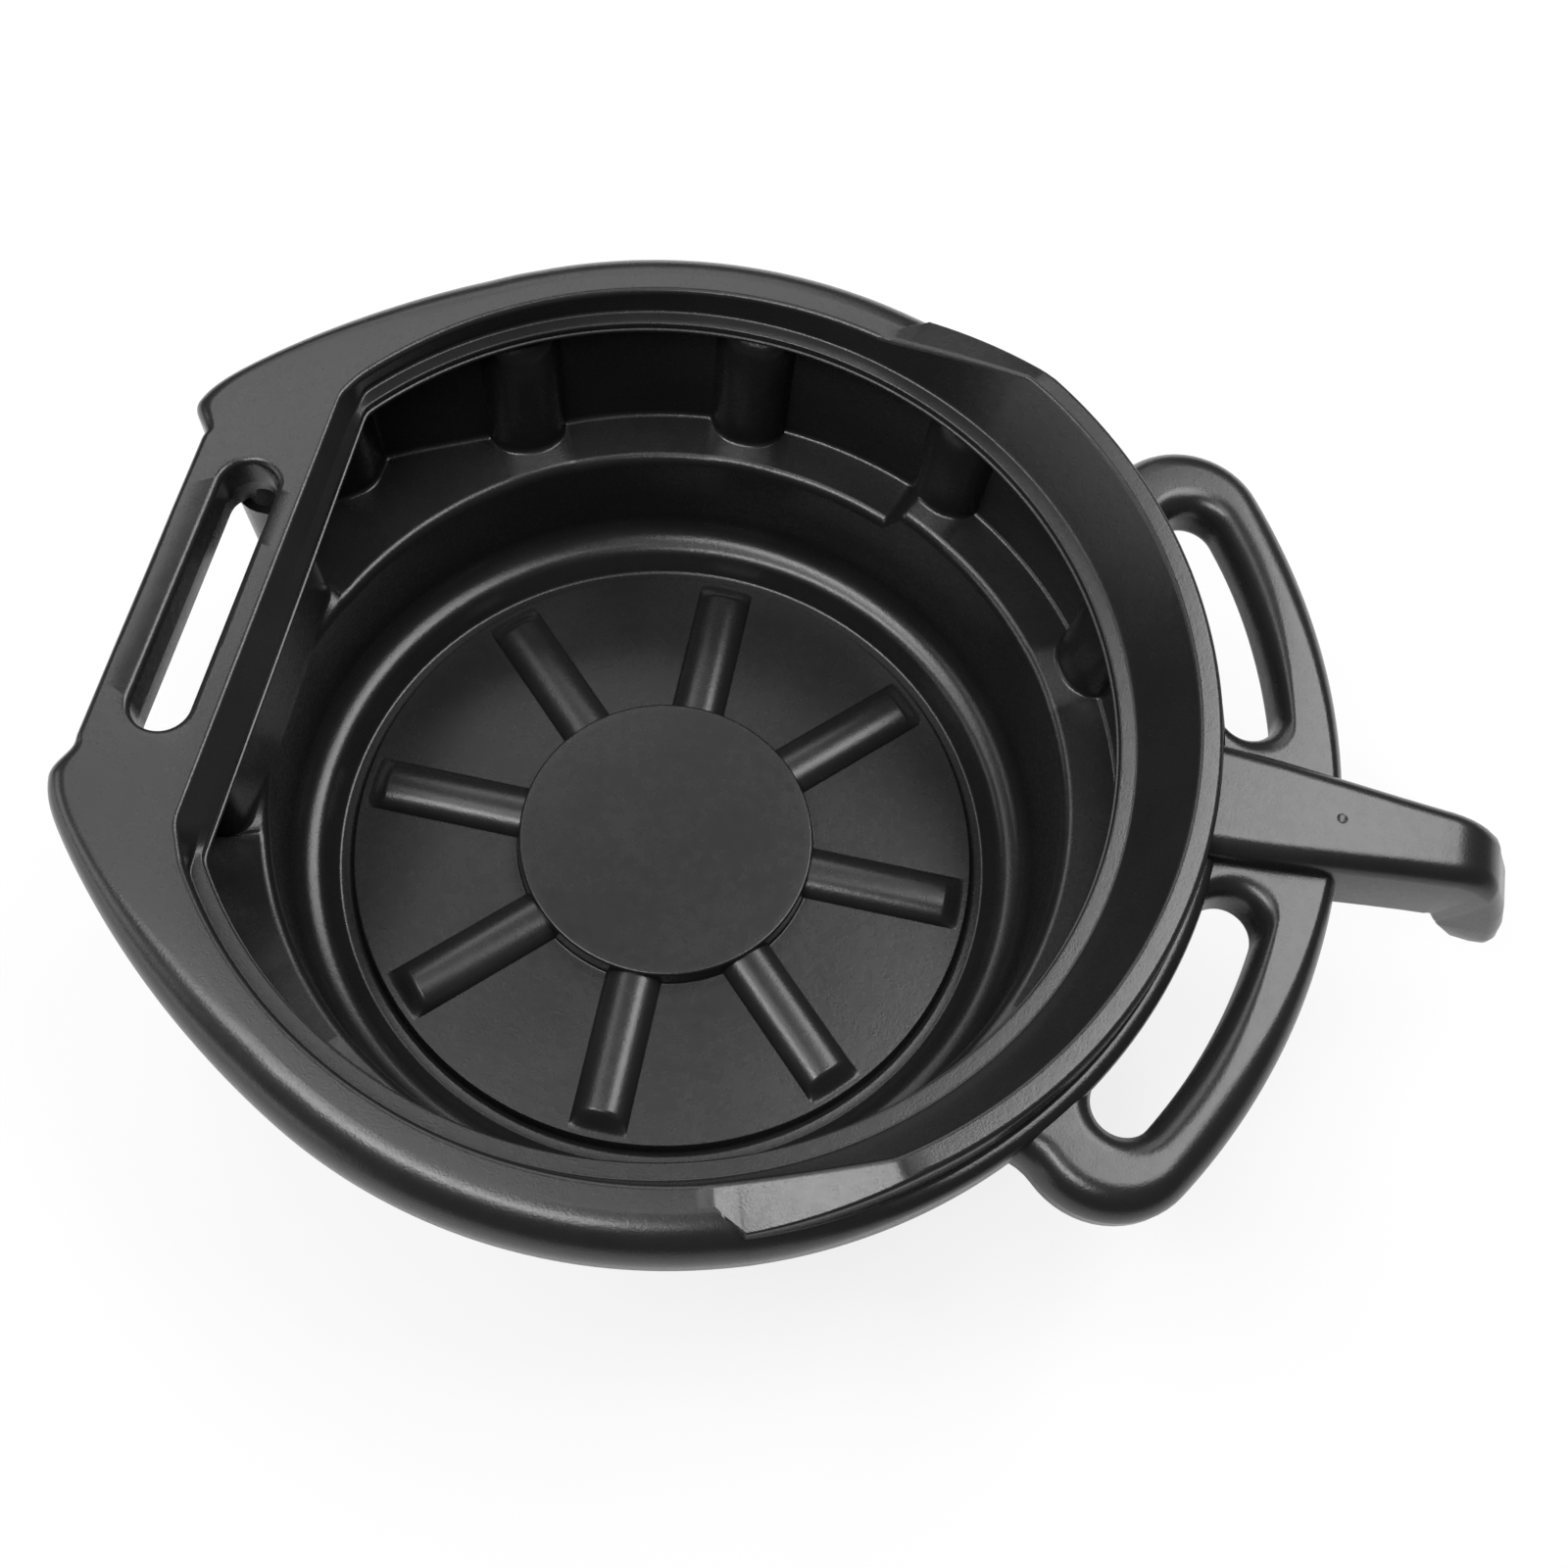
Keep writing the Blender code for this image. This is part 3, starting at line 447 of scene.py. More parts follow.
def select_rows(piece, rows):
    """Selects the edges of whole rings, by their height while the rings are still a stack."""
    bpy.ops.object.mode_set(mode="OBJECT")
    mesh = piece.data
    heights = np.empty(len(mesh.vertices) * 3)
    mesh.vertices.foreach_get("co", heights)
    chosen = np.isin(np.rint(heights[2::3]).astype(int), rows)
    ends = np.empty(len(mesh.edges) * 2, int)
    mesh.edges.foreach_get("vertices", ends)
    ends = ends.reshape(-1, 2)
    level = np.rint(heights[2::3]).astype(int)
    flat = chosen[ends].all(1) & (level[ends[:, 0]] == level[ends[:, 1]])
    mesh.vertices.foreach_set("select", chosen)
    mesh.edges.foreach_set("select", flat)
    mesh.polygons.foreach_set("select", np.zeros(len(mesh.polygons), bool))
    bpy.ops.object.mode_set(mode="EDIT")
    bpy.ops.mesh.select_mode(type="EDGE")


def close_end(piece, row, ends):
    """Puts a flat face on a ring, or a fan round its middle."""
    select_rows(piece, (row,))
    bpy.ops.mesh.edge_face_add()
    if ends == "poles":
        bpy.ops.mesh.select_mode(type="FACE")
        bpy.ops.mesh.poke()


def make_active(piece):
    bpy.ops.object.select_all(action="DESELECT")
    piece.select_set(True)
    bpy.context.view_layer.objects.active = piece


def apply_modifier(piece, kind, **settings):
    make_active(piece)
    modifier = piece.modifiers.new(kind.lower(), kind)
    for setting, value in settings.items():
        setattr(modifier, setting, value)
    bpy.ops.object.modifier_apply(modifier=modifier.name)


def cut(piece, cutter):
    """Takes the cutter's shape out of the piece."""
    apply_modifier(piece, "BOOLEAN", operation="DIFFERENCE", solver="EXACT", object=cutter)
    bpy.data.objects.remove(cutter, do_unlink=True)


def face_out(piece):
    make_active(piece)
    bpy.ops.object.mode_set(mode="EDIT")
    bpy.ops.mesh.select_all(action="SELECT")
    bpy.ops.mesh.remove_doubles(threshold=MERGE_DISTANCE)
    bpy.ops.mesh.normals_make_consistent(inside=False)
    bpy.ops.object.mode_set(mode="OBJECT")


def finish_piece(piece, material, nodes):
    """Smooth shading with flat faces kept flat, the finish, and what the piece stands for."""
    make_active(piece)
    bpy.ops.object.shade_smooth_by_angle(angle=SHARP_ANGLE)
    apply_modifier(piece, "WEIGHTED_NORMAL", mode="FACE_AREA", weight=NORMAL_WEIGHT, keep_sharp=True)
    piece.data.materials.clear()
    piece.data.materials.append(material)
    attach(piece, BODY)
    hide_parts(*nodes)
    return piece


class Shade:
    """One socket of a material being built. Arithmetic on it adds Math nodes."""

    def __init__(self, tree, socket=None):
        self.tree = tree
        self.socket = socket

    def node(self, kind, settings=None, inputs=None, output=0):
        """Adds a node: its settings first, then the values or links of its sockets."""
        made = self.tree.nodes.new(kind)
        for name, value in (settings or {}).items():
            setattr(made, name, value)
        for name, value in (inputs or {}).items():
            if isinstance(value, Shade):
                self.tree.links.new(value.socket, made.inputs[name])
            else:
                made.inputs[name].default_value = value
        return Shade(self.tree, made.outputs[output] if made.outputs else None)

    def maths(self, operation, first, second):
        return self.node("ShaderNodeMath", {"operation": operation}, {0: first, 1: second})

    def __add__(self, other):
        return self.maths("ADD", self, other)

    __radd__ = __add__

    def __sub__(self, other):
        return self.maths("SUBTRACT", self, other)

    def __rsub__(self, other):
        return self.maths("SUBTRACT", other, self)

    def __mul__(self, other):
        return self.maths("MULTIPLY", self, other)

    __rmul__ = __mul__


def new_material(name):
    material = bpy.data.materials.new(name)
    material.use_nodes = True
    material.node_tree.nodes.clear()
    return material, Shade(material.node_tree)


def black_polyethylene():
    """Black blown plastic: fine mould grain, faint cloudiness, a dull sheen."""
    material, shade = new_material("black_polyethylene")
    where = shade.node("ShaderNodeTexCoord", output="Object")

    def noise(scale, detail):
        settings = {"noise_dimensions": "3D"}
        inputs = {"Vector": where, "Scale": scale, "Detail": detail}
        return shade.node("ShaderNodeTexNoise", settings, inputs, output="Fac")

    cloud = noise(CLOUD_SCALE, CLOUD_DETAIL)
    grain = noise(GRAIN_SCALE, GRAIN_DETAIL)
    mottle = noise(MOTTLE_SCALE, MOTTLE_DETAIL)
    tone = shade.node(
        "ShaderNodeMix",
        {"data_type": "RGBA"},
        {0: cloud, 6: DARK_TONE, 7: LIGHT_TONE},
        output=2,
    )
    rough = SHEEN + CLOUD_SHEEN * cloud + MOTTLE_SHEEN * mottle
    relief = grain + MOTTLE_RELIEF * mottle
    bump_inputs = {"Strength": GRAIN_STRENGTH, "Distance": GRAIN_HEIGHT, "Height": relief}
    bump = shade.node("ShaderNodeBump", None, bump_inputs)
    shader = shade.node(
        "ShaderNodeBsdfPrincipled",
        None,
        {"Base Color": tone, "Roughness": rough, "Normal": bump, "IOR": PLASTIC_IOR},
    )
    shade.node("ShaderNodeOutputMaterial", None, {"Surface": shader})
    return material


def column_angles():
    """Angles of the columns, close together where the outline turns."""
    half = list(np.arange(0, 180.01, COLUMN_STEP))
    fine = list(FINE_COLUMNS)
    half_width = math.degrees(PILLAR_HALF / UPPER_RADIUS)
    for pillar in PILLARS:
        first, last = math.degrees(pillar) - half_width, math.degrees(pillar) + half_width
        fine += [(first - PILLAR_EDGE_OUT, first + PILLAR_EDGE_IN, PILLAR_EDGE_STEP)]
        fine += [(last - PILLAR_EDGE_IN, last + PILLAR_EDGE_OUT, PILLAR_EDGE_STEP)]
    for low, high, step in fine:
        half = [a for a in half if not low < a < high] + list(np.arange(low, high, step))
    half = sorted(half)
    kept = [half[0]]
    for angle in half[1:]:
        if angle - kept[-1] > LEAST_COLUMN_STEP:
            kept.append(angle)
    kept[-1] = 180
    whole = kept + [-a for a in reversed(kept[1:-1])]
    return np.radians(whole)


# Columns: their angles on the outline, and inside it, where they draw together at the pockets
PHI = column_angles()
TURN = np.abs(PHI)
PHI_INSIDE = np.sign(PHI) * np.interp(TURN, MOUTH_COLUMNS, MOUTH_TURNS)


def towards_chord(radius, chord, turn=0.0):
    """A circle cut off straight at x = -chord, in polar form, with a tight corner."""
    facing = np.maximum(-np.cos(PHI_INSIDE - turn), 1e-3)
    return (radius**-CORNER_SHARPNESS + (chord / facing) ** -CORNER_SHARPNESS) ** (-1 / CORNER_SHARPNESS)


def ramp(limits):
    """0 on the plain rim, 1 on the raised rim at the arm."""
    return clamp01((limits[0] - TURN) / (limits[0] - limits[1]))


def mixed(low, high, share):
    return low + (high - low) * share


def mirror_columns(far):
    """A value for each column of the far half, carried over to the near half."""
    near = far[1:-1][::-1].copy()
    near[:, 1] *= -1
    return np.concatenate([far, near])


def wall_plan():
    """Upper wall's inner face without its pillars: (x, y) of each column, and the way out of the bowl."""
    half = TURN[: len(TURN) // 2 + 1]
    radius = UPPER_RADIUS / np.cos(np.maximum(half - STRAIGHT_FROM, 0))
    far = np.stack([radius * np.cos(half), radius * np.sin(half)], 1)
    first = int(np.argmax(half > POCKET_FROM))
    corners = [
        (far[first], 0, 0),
        (CORNER_ROOT, CORNER_ROOT_ROUNDING, 4),
        (CORNER_FACE, CORNER_ROUNDING, 8),
        (CORNER_SIDE, CORNER_ROUNDING, 8),
        ((-POCKET_X, POCKET_FAR_Y), POCKET_ROUNDING, 6),
        ((-POCKET_X, POCKET_NEAR_Y), POCKET_ROUNDING, 6),
        ((-PANEL_X, POCKET_NEAR_Y), PANEL_EDGE_ROUNDING, 10),
        ((-PANEL_X, 0), 0, 0),
    ]
    path = rounded_rows([(np.array([corner]), rounding, steps) for corner, rounding, steps in corners])[:, 0]
    along = np.append(0, np.cumsum(np.linalg.norm(np.diff(path, axis=0), axis=1)))
    marks = [path[0], (-POCKET_X, POCKET_NEAR_Y), (-PANEL_X, POCKET_NEAR_Y - PANEL_EDGE_ROUNDING), path[-1]]
    passed = [along[np.argmin(np.linalg.norm(path - mark, axis=1))] for mark in marks]
    wanted = np.interp(half[first:], np.append(half[first], MOUTH_COLUMNS[2:]), passed)
    far[first:] = np.stack([np.interp(wanted, along, path[:, axis]) for axis in (0, 1)], 1)
    spots = mirror_columns(far)
    along_wall = np.roll(spots, -1, axis=0) - np.roll(spots, 1, axis=0)
    out = np.stack([along_wall[:, 1], -along_wall[:, 0]], 1)
    return spots, out / np.linalg.norm(out, axis=1, keepdims=True)


def pillar_bulge():
    """How far the pillars stand in from the wall."""
    bulge = np.zeros_like(PHI)
    for pillar in PILLARS:
        aside = (TURN - pillar) * UPPER_RADIUS / PILLAR_HALF
        across = np.minimum(np.abs(aside), 1)
        bulge += PILLAR_DEEP * (1 - across ** PILLAR_CROWN[0]) ** PILLAR_CROWN[1]
    return bulge


def flange_outline():
    """The rim's outline: round, flaring to the nubs, then the straight grip bar."""
    nub_angle = math.atan2(NUB_Y, -NUB_X)
    nub_end = math.atan2(NUB_END_Y, -NUB_X)
    notch = math.atan2(NOTCH_Y, -GRIP_X)
    share = np.maximum(TURN - FLARE_FROM, 0) / (nub_angle - FLARE_FROM)
    flare = FLANGE_RADIUS + (math.hypot(NUB_X, NUB_Y) - FLANGE_RADIUS) * share**2
    proud = ease((notch - TURN) / (notch - nub_end))
    bar = GRIP_X / np.maximum(-np.cos(PHI - GRIP_TURN), LEAST_FACING)
    nub = NUB_X / np.maximum(-np.cos(PHI), LEAST_FACING)
    end = mixed(bar, nub, proud)
    return (flare**-NUB_SHARPNESS + end**-NUB_SHARPNESS) ** (-1 / NUB_SHARPNESS)


def pan_rows():
    """The pan's section in every column, from the middle of the disc round to the middle of the underside."""
    ledge = LEDGE_Z + LEDGE_LIFT * ease((LEDGE_STEP + LEDGE_STEP_SPAN - TURN) / (2 * LEDGE_STEP_SPAN))
    foot_z = ledge + LEDGE_SLOPE
    plan, out_of_bowl = wall_plan()
    bulge = pillar_bulge()
    facing = np.maximum(-np.cos(PHI_INSIDE), LEAST_FACING)
    shoulder = np.minimum(LOWER_RADIUS, (PANEL_X - SHOULDER_SETBACK) / facing)
    high_crest = ramp(CREST_RAMP)
    high_outer = ramp(OUTER_RAMP)
    wide_outer = ramp(RAMP_WIDENS)
    outline = flange_outline()
    gripped = ease((TURN - GRIP_LIP_FROM) / GRIP_LIP_SPAN)

    def knot(radius, z, rounding=0.0, steps=0, angles=PHI_INSIDE):
        return polar(radius + 0 * PHI, angles, z + 0 * PHI), rounding, steps

    def wall_knot(z, rounding=0.0, steps=0, out=0.0, at_z=None):
        share = clamp01((z - foot_z) / (WALL_TOP_Z - foot_z))
        fade = np.sqrt(clamp01(1 - clamp01((z - PILLAR_TOP_Z + PILLAR_FADE) / PILLAR_FADE) ** 2))
        spot = plan + out_of_bowl * (out + WALL_DRAFT * share - bulge * fade)[:, None]
        height = (z if at_z is None else at_z) + 0 * PHI
        return np.column_stack([AXIS_X + spot[:, 0], spot[:, 1], height]), rounding, steps

    knots = [
        knot(MIDDLE_RADIUS, DISC_Z),
        knot(DISC_RADIUS - DISC_EDGE_MARGIN, DISC_Z),
        knot(DISC_RADIUS, DISC_Z, DISC_EDGE_ROUNDING, 4),
        knot(DISC_RADIUS + DISC_DRAFT, FLOOR_Z, DISC_FOOT_ROUNDING, 3),
        *(knot(row, FLOOR_Z) for row in FLOOR_ROWS),
        knot(FLOOR_RADIUS, FLOOR_Z, FLOOR_EDGE_ROUNDING, 2),
        knot(GROOVE_IN, GROOVE_Z, GROOVE_ROUNDING, 4),
        knot(GROOVE_OUT, GROOVE_Z, GROOVE_ROUNDING, 4),
        knot(SHELF_RADIUS, SHELF_Z, SHELF_ROUNDING, 8),
        knot(FOOT_RADIUS, SHELF_Z + SHELF_RISE, FOOT_ROUNDING, 8),
        knot(mixed(FOOT_RADIUS, shoulder, 0.5), mixed(SHELF_Z, ledge, 0.5)),
        knot(shoulder, ledge, SHOULDER_ROUNDING, 7),
        wall_knot(foot_z, LEDGE_ROUNDING, 6),
    ]
    for share in WALL_SHARES:
        knots.append(wall_knot(mixed(foot_z, WALL_TOP_Z, share)))
    trim_radius = TRIM_RADIUS - TRIM_SHIFT * np.cos(PHI_INSIDE)
    trim = towards_chord(trim_radius, TRIM_X, TRIM_TURN)
    band = towards_chord(trim_radius + BAND_WIDTH, TRIM_X + CHORD_BAND_WIDTH, TRIM_TURN)
    crest_radius = mixed(CREST_RADIUS, RAISED_CREST, high_crest**2)
    crest_rounding = mixed(CREST_ROUNDING, RAISED_CREST_ROUNDING, high_crest)
    crest_rounding = mixed(crest_rounding, CHORD_CREST_ROUNDING, gripped)
    straight_lip = clamp01((trim_radius - trim) / BAND_WIDTH)
    knots += [
        wall_knot(WALL_TOP_Z + 0 * PHI, WALL_TOP_ROUNDING, 4, at_z=WALL_TOP_Z + WALL_TOP_RISE),
        knot(trim - CUT_PROUD, TRIM_LOW_Z, CUT_LOW_ROUNDING, 2),
        knot(trim - CUT_PROUD, TRIM_LOW_Z + CUT_THICK, CUT_ROUNDING, 3),
        knot(trim + CUT_BACK, TRIM_LOW_Z + CUT_THICK + CUT_SLOPE),
        knot(trim, TRIM_Z, TRIM_ROUNDING, 3),
        knot(band, mixed(TRIM_Z, CHORD_BAND_Z, straight_lip), BAND_ROUNDING, 3),
        knot(towards_chord(crest_radius, CREST_X, CREST_TURN), mixed(FLANGE_Z, RAISED_Z, high_crest),
             crest_rounding, 6),
    ]
    flat = np.minimum(FLANGE_FLAT, towards_chord(FAR_AWAY, CREST_X + CHORD_FLAT))
    plain_edge = np.interp(TURN, EDGE_TURNS, EDGE_ROUNDINGS)
    ledged = ease(ramp(LEDGE_RAMP))
    foot_radius = mixed(flat + RAMP_FOOT, RAISED_RADIUS + RAISED_FOOT, wide_outer)
    run = np.clip(foot_radius - (outline - plain_edge), 0, MOST_OF_SPAN * plain_edge)
    rest = np.sqrt(plain_edge**2 - run**2)
    emerge_z = FLANGE_Z - (plain_edge - rest) * (1 - ledged)
    turn_z = emerge_z - (outline - foot_radius) * run / rest * (1 - ledged)
    knots += [
        knot(mixed(flat, RAISED_RADIUS, wide_outer), mixed(FLANGE_Z, RAISED_Z, high_outer),
             mixed(RAMP_ROUNDING, RAISED_ROUNDING, high_outer), 6),
        knot(foot_radius, emerge_z, RAISED_FOOT_ROUNDING, 3),
        knot(outline, turn_z, mixed(plain_edge, LEDGE_EDGE_ROUNDING, ledged), 8, PHI),
        knot(outline - SKIRT_DRAFT, FLANGE_UNDER_Z, SKIRT_ROUNDING, 5, PHI),
        wall_knot(WALL_TOP_Z + 0 * PHI, WALL_TOP_ROUNDING, 4, out=SKIN, at_z=FLANGE_UNDER_Z),
    ]
    for share in OUTSIDE_SHARES:
        knots.append(wall_knot(mixed(ledge, FLANGE_UNDER_Z, share), out=SKIN))
    knots += [
        wall_knot(foot_z, UNDER_LEDGE_ROUNDING, 5, out=SKIN, at_z=ledge - UNDER_LEDGE_DROP),
        knot(shoulder + SKIN, ledge - SKIN, UNDER_SHOULDER_ROUNDING, 3),
        knot(FOOT_RADIUS + SKIN + UNDER_WALL_DRAFT, UNDER_WALL_Z),
        knot(FOOT_RADIUS + SKIN, SHELF_Z - SKIN + UNDER_SHELF_LIFT, FOOT_ROUNDING + SKIN, 8),
        knot(RING_ROOT_OUT, SHELF_Z - SKIN, RING_ROOT_ROUNDING, 3),
        knot(RING_OUT, 0, RING_ROUNDING, 4),
        knot(RING_IN, 0, RING_ROUNDING, 4),
        knot(RING_ROOT_IN, FLOOR_Z - SKIN, RING_ROOT_ROUNDING, 3),
        knot(UNDER_FLOOR_ROW, FLOOR_Z - SKIN),
        knot(DISC_RADIUS - SKIN + UNDER_DISC_DRAFT, FLOOR_Z - SKIN, UNDER_DISC_ROUNDING, 3),
        knot(DISC_RADIUS - SKIN, DISC_Z - SKIN, UNDER_DISC_ROUNDING, 3),
        knot(MIDDLE_RADIUS, DISC_Z - SKIN),
    ]
    return rounded_rows(knots)


def stadium(half_length, half_width, steps):
    """(x, y) points round a slot with round ends, long in y."""
    turns = np.linspace(0, math.pi, steps + 1)
    top = np.stack([half_width * np.cos(turns), half_length - half_width + half_width * np.sin(turns)], 1)
    return np.concatenate([top, -top])


def slot_cutter():
    """The slot's empty space, flared at the top and the bottom so that its edges come out round."""
    knots = [(FLANGE_Z + SLOT_BEYOND, SLOT_EDGE + SLOT_BEYOND), (FLANGE_Z + SLOT_TOP_CLEAR, SLOT_EDGE)]
    knots += [(FLANGE_Z - SLOT_EDGE * drop, SLOT_EDGE * out) for drop, out in SLOT_EDGE_ARC]
    knots += [(z, -SLOT_SEAM_IN) for z in SLOT_SEAM_Z]
    knots += [(FLANGE_UNDER_Z + SLOT_UNDER_RISE, SLOT_UNDER_OUT), (FLANGE_UNDER_Z - SLOT_BEYOND, SLOT_BEYOND)]
    loops = []
    for z, out in knots:
        plan = stadium(SLOT_HALF_LENGTH + out, SLOT_HALF_WIDTH + out, SLOT_STEPS)
        loops.append([(AXIS_X - SLOT_X + SLOT_SKEW * y + x, y, z) for x, y in plan])
    cutter = skin("slot_cutter", loops, "caps")
    face_out(cutter)
    make_active(cutter)
    bpy.ops.object.shade_smooth()
    return cutter


def make_pan(material):
    pan = skin("pan_body", pan_rows(), "poles")
    face_out(pan)
    cut(pan, slot_cutter())
    nodes = ["base_pan", "floor_disc", "lower_wall", "wall_ledge", "upper_wall", "splash_lip"]
    nodes += ["rim_flange", "grip_flange", "raised_rim"]
    nodes += [f"wall_pillar_{n + 1}" for n in range(10)]
    finish_piece(pan, material, nodes)


def make_ribs(material):
    """Rounded ridges on the floor, one for each node."""
    across = np.linspace(-1, 1, 41)
    profile = (1 - np.abs(across) ** RIB_CROWN[0]) ** RIB_CROWN[1]
    plain = np.linspace(DISC_RADIUS - RIB_SUNK, RIB_END - RIB_END_SLOPE, 9)
    sloping = np.linspace(RIB_END - RIB_END_SLOPE, RIB_END, 13)[1:]
    for number in range(RIB_COUNT):
        angle = 2 * math.pi * number / RIB_COUNT
        loops = []
        for r in np.concatenate([plain, sloping]):
            rise = RIB_RISE * max(ease((RIB_END - r) / RIB_END_SLOPE), RIB_LEAST)
            x = np.append(np.full_like(across, r), (r, r))
            y = np.append(RIB_HALF_WIDTH * across, (RIB_HALF_WIDTH, -RIB_HALF_WIDTH))
            z = np.append(FLOOR_Z + rise * profile, (FLOOR_Z - RIB_SUNK, FLOOR_Z - RIB_SUNK))
            turned_x = x * math.cos(angle) - y * math.sin(angle)
            turned_y = x * math.sin(angle) + y * math.cos(angle)
            loops.append(np.stack([AXIS_X + turned_x, turned_y, z], 1))
        rib = skin(f"rib_{number + 1}", loops, "caps")
        face_out(rib)
        finish_piece(rib, material, [f"floor_rib_{number + 1}"])


def arc_points(centre, radius, start, end, steps):
    turns = np.linspace(start, end, steps + 1)
    return np.stack([centre[0] + radius * np.cos(turns), centre[1] + radius * np.sin(turns)], 1)


def rung_loops(inner, outer, knots):
    """Sections between two edge curves. A knot is (share across, offset along across, z, rounding, steps)."""
    across = outer - inner
    width = np.linalg.norm(across, axis=1, keepdims=True)
    across = across / width
    rows = []
    for side, inset, z, rounding, steps in knots:
        base = outer if side else inner
        sign = -1 if side else 1
        spot = base + across * sign * np.minimum(inset, LOOP_MOST_INSET * width)
        points = np.concatenate([spot, np.full((len(spot), 1), z)], 1)
        rows.append((points, rounding, steps))
    return np.transpose(rounded_rows(rows), (1, 0, 2))


def make_handle(material):
    """One plate on each side of the arm, with a round-ended window between the bar and the rim."""
    flange_side = FLANGE_RADIUS - LOOP_INTO_FLANGE
    end_radius = (LOOP_INNER - flange_side) / 2
    end_middle = (LOOP_INNER + flange_side) / 2
    tuck = end_radius / end_middle
    bar_turns = np.linspace(WINDOW_FROM + tuck, WINDOW_TO - tuck, BAR_STEPS + 1)
    bar_in = np.stack([LOOP_INNER * np.cos(bar_turns), LOOP_INNER * np.sin(bar_turns)], 1)
    far_middle = (end_middle * math.cos(bar_turns[-1]), end_middle * math.sin(bar_turns[-1]))
    far_end = arc_points(far_middle, end_radius, bar_turns[-1], bar_turns[-1] + math.pi, END_STEPS)
    back = np.stack([flange_side * np.cos(bar_turns[::-1]), flange_side * np.sin(bar_turns[::-1])], 1)
    near_middle = (end_middle * math.cos(bar_turns[0]), end_middle * math.sin(bar_turns[0]))
    near_end = arc_points(near_middle, end_radius, bar_turns[0] - math.pi, bar_turns[0], END_STEPS)
    inner = np.concatenate([bar_in, far_end[1:], back[1:], near_end[1:-1]])

    buried_r = FLANGE_RADIUS - BURIED_DEPTH
    first = math.asin(BURIED_Y / LOOP_OUTER)
    out_turns = np.linspace(first, LOOP_CORNER_FROM, BAR_STEPS + 1)
    bar_out = np.stack([LOOP_OUTER * np.cos(out_turns), LOOP_OUTER * np.sin(out_turns)], 1)
    root = root_curve(bar_out[-1], LOOP_CORNER_FROM, END_STEPS)
    root_turn = math.atan2(root[-1][1], root[-1][0])
    back_turns = np.linspace(root_turn, math.asin(BURIED_Y / buried_r), BAR_STEPS + 1)
    out_back = np.stack([buried_r * np.cos(back_turns), buried_r * np.sin(back_turns)], 1)
    side_x = np.linspace(out_back[-1][0], bar_out[0][0], END_STEPS + 1)
    out_side = np.stack([side_x, np.full_like(side_x, BURIED_Y)], 1)
    outer = np.concatenate([bar_out, root[1:], out_back[1:], out_side[1:-1]])

    middle_z = (LOOP_Z + LOOP_UNDER_Z) / 2
    knots = [
        (0, LOOP_TOP_INSET, LOOP_Z, LOOP_IN_ROUNDING, 7),
        (1, LOOP_TOP_INSET, LOOP_Z, LOOP_OUT_ROUNDING, 8),
        (1, 0.0, middle_z, 0, 0),
        (1, LOOP_UNDER_INSET, LOOP_UNDER_Z, LOOP_UNDER_ROUNDING, 6),
        (0, LOOP_UNDER_INSET, LOOP_UNDER_Z, LOOP_UNDER_ROUNDING, 6),
        (0, 0.0, middle_z, 0, 0),
    ]
    loops = rung_loops(inner, outer, knots)
    loops[:, :, 0] += AXIS_X
    for name, side in (("far", 1), ("near", -1)):
        turned = loops * np.array([1, side, 1])
        plate = skin(f"handle_{name}", turned, "bridge")
        face_out(plate)
        finish_piece(plate, material, [f"hand_loop_{name}", f"arm_gusset_{name}"])


def root_curve(start, angle, steps):
    """The bar's outer corner and the hollow curve by which it runs into the rim."""
    corner_steps = 2 * steps // 3
    corner_x = start[0] - LOOP_CORNER_RADIUS * math.cos(angle)
    corner_y = start[1] - LOOP_CORNER_RADIUS * math.sin(angle)
    end_turn = angle + LOOP_CORNER_TURN
    corner = arc_points((corner_x, corner_y), LOOP_CORNER_RADIUS, angle, end_turn, corner_steps)
    hollow_x = corner[-1][0] + LOOP_HOLLOW_RADIUS * math.cos(end_turn)
    hollow_y = corner[-1][1] + LOOP_HOLLOW_RADIUS * math.sin(end_turn)
    from_turn = end_turn + math.pi
    to_turn = from_turn - LOOP_HOLLOW_TURN
    hollow = arc_points((hollow_x, hollow_y), LOOP_HOLLOW_RADIUS, from_turn, to_turn, steps - corner_steps)
    return np.concatenate([corner, hollow[1:]])


def arm_half_width(x):
    xs, widths = zip(*ARM_WIDTHS)
    return np.interp(x, xs, widths)


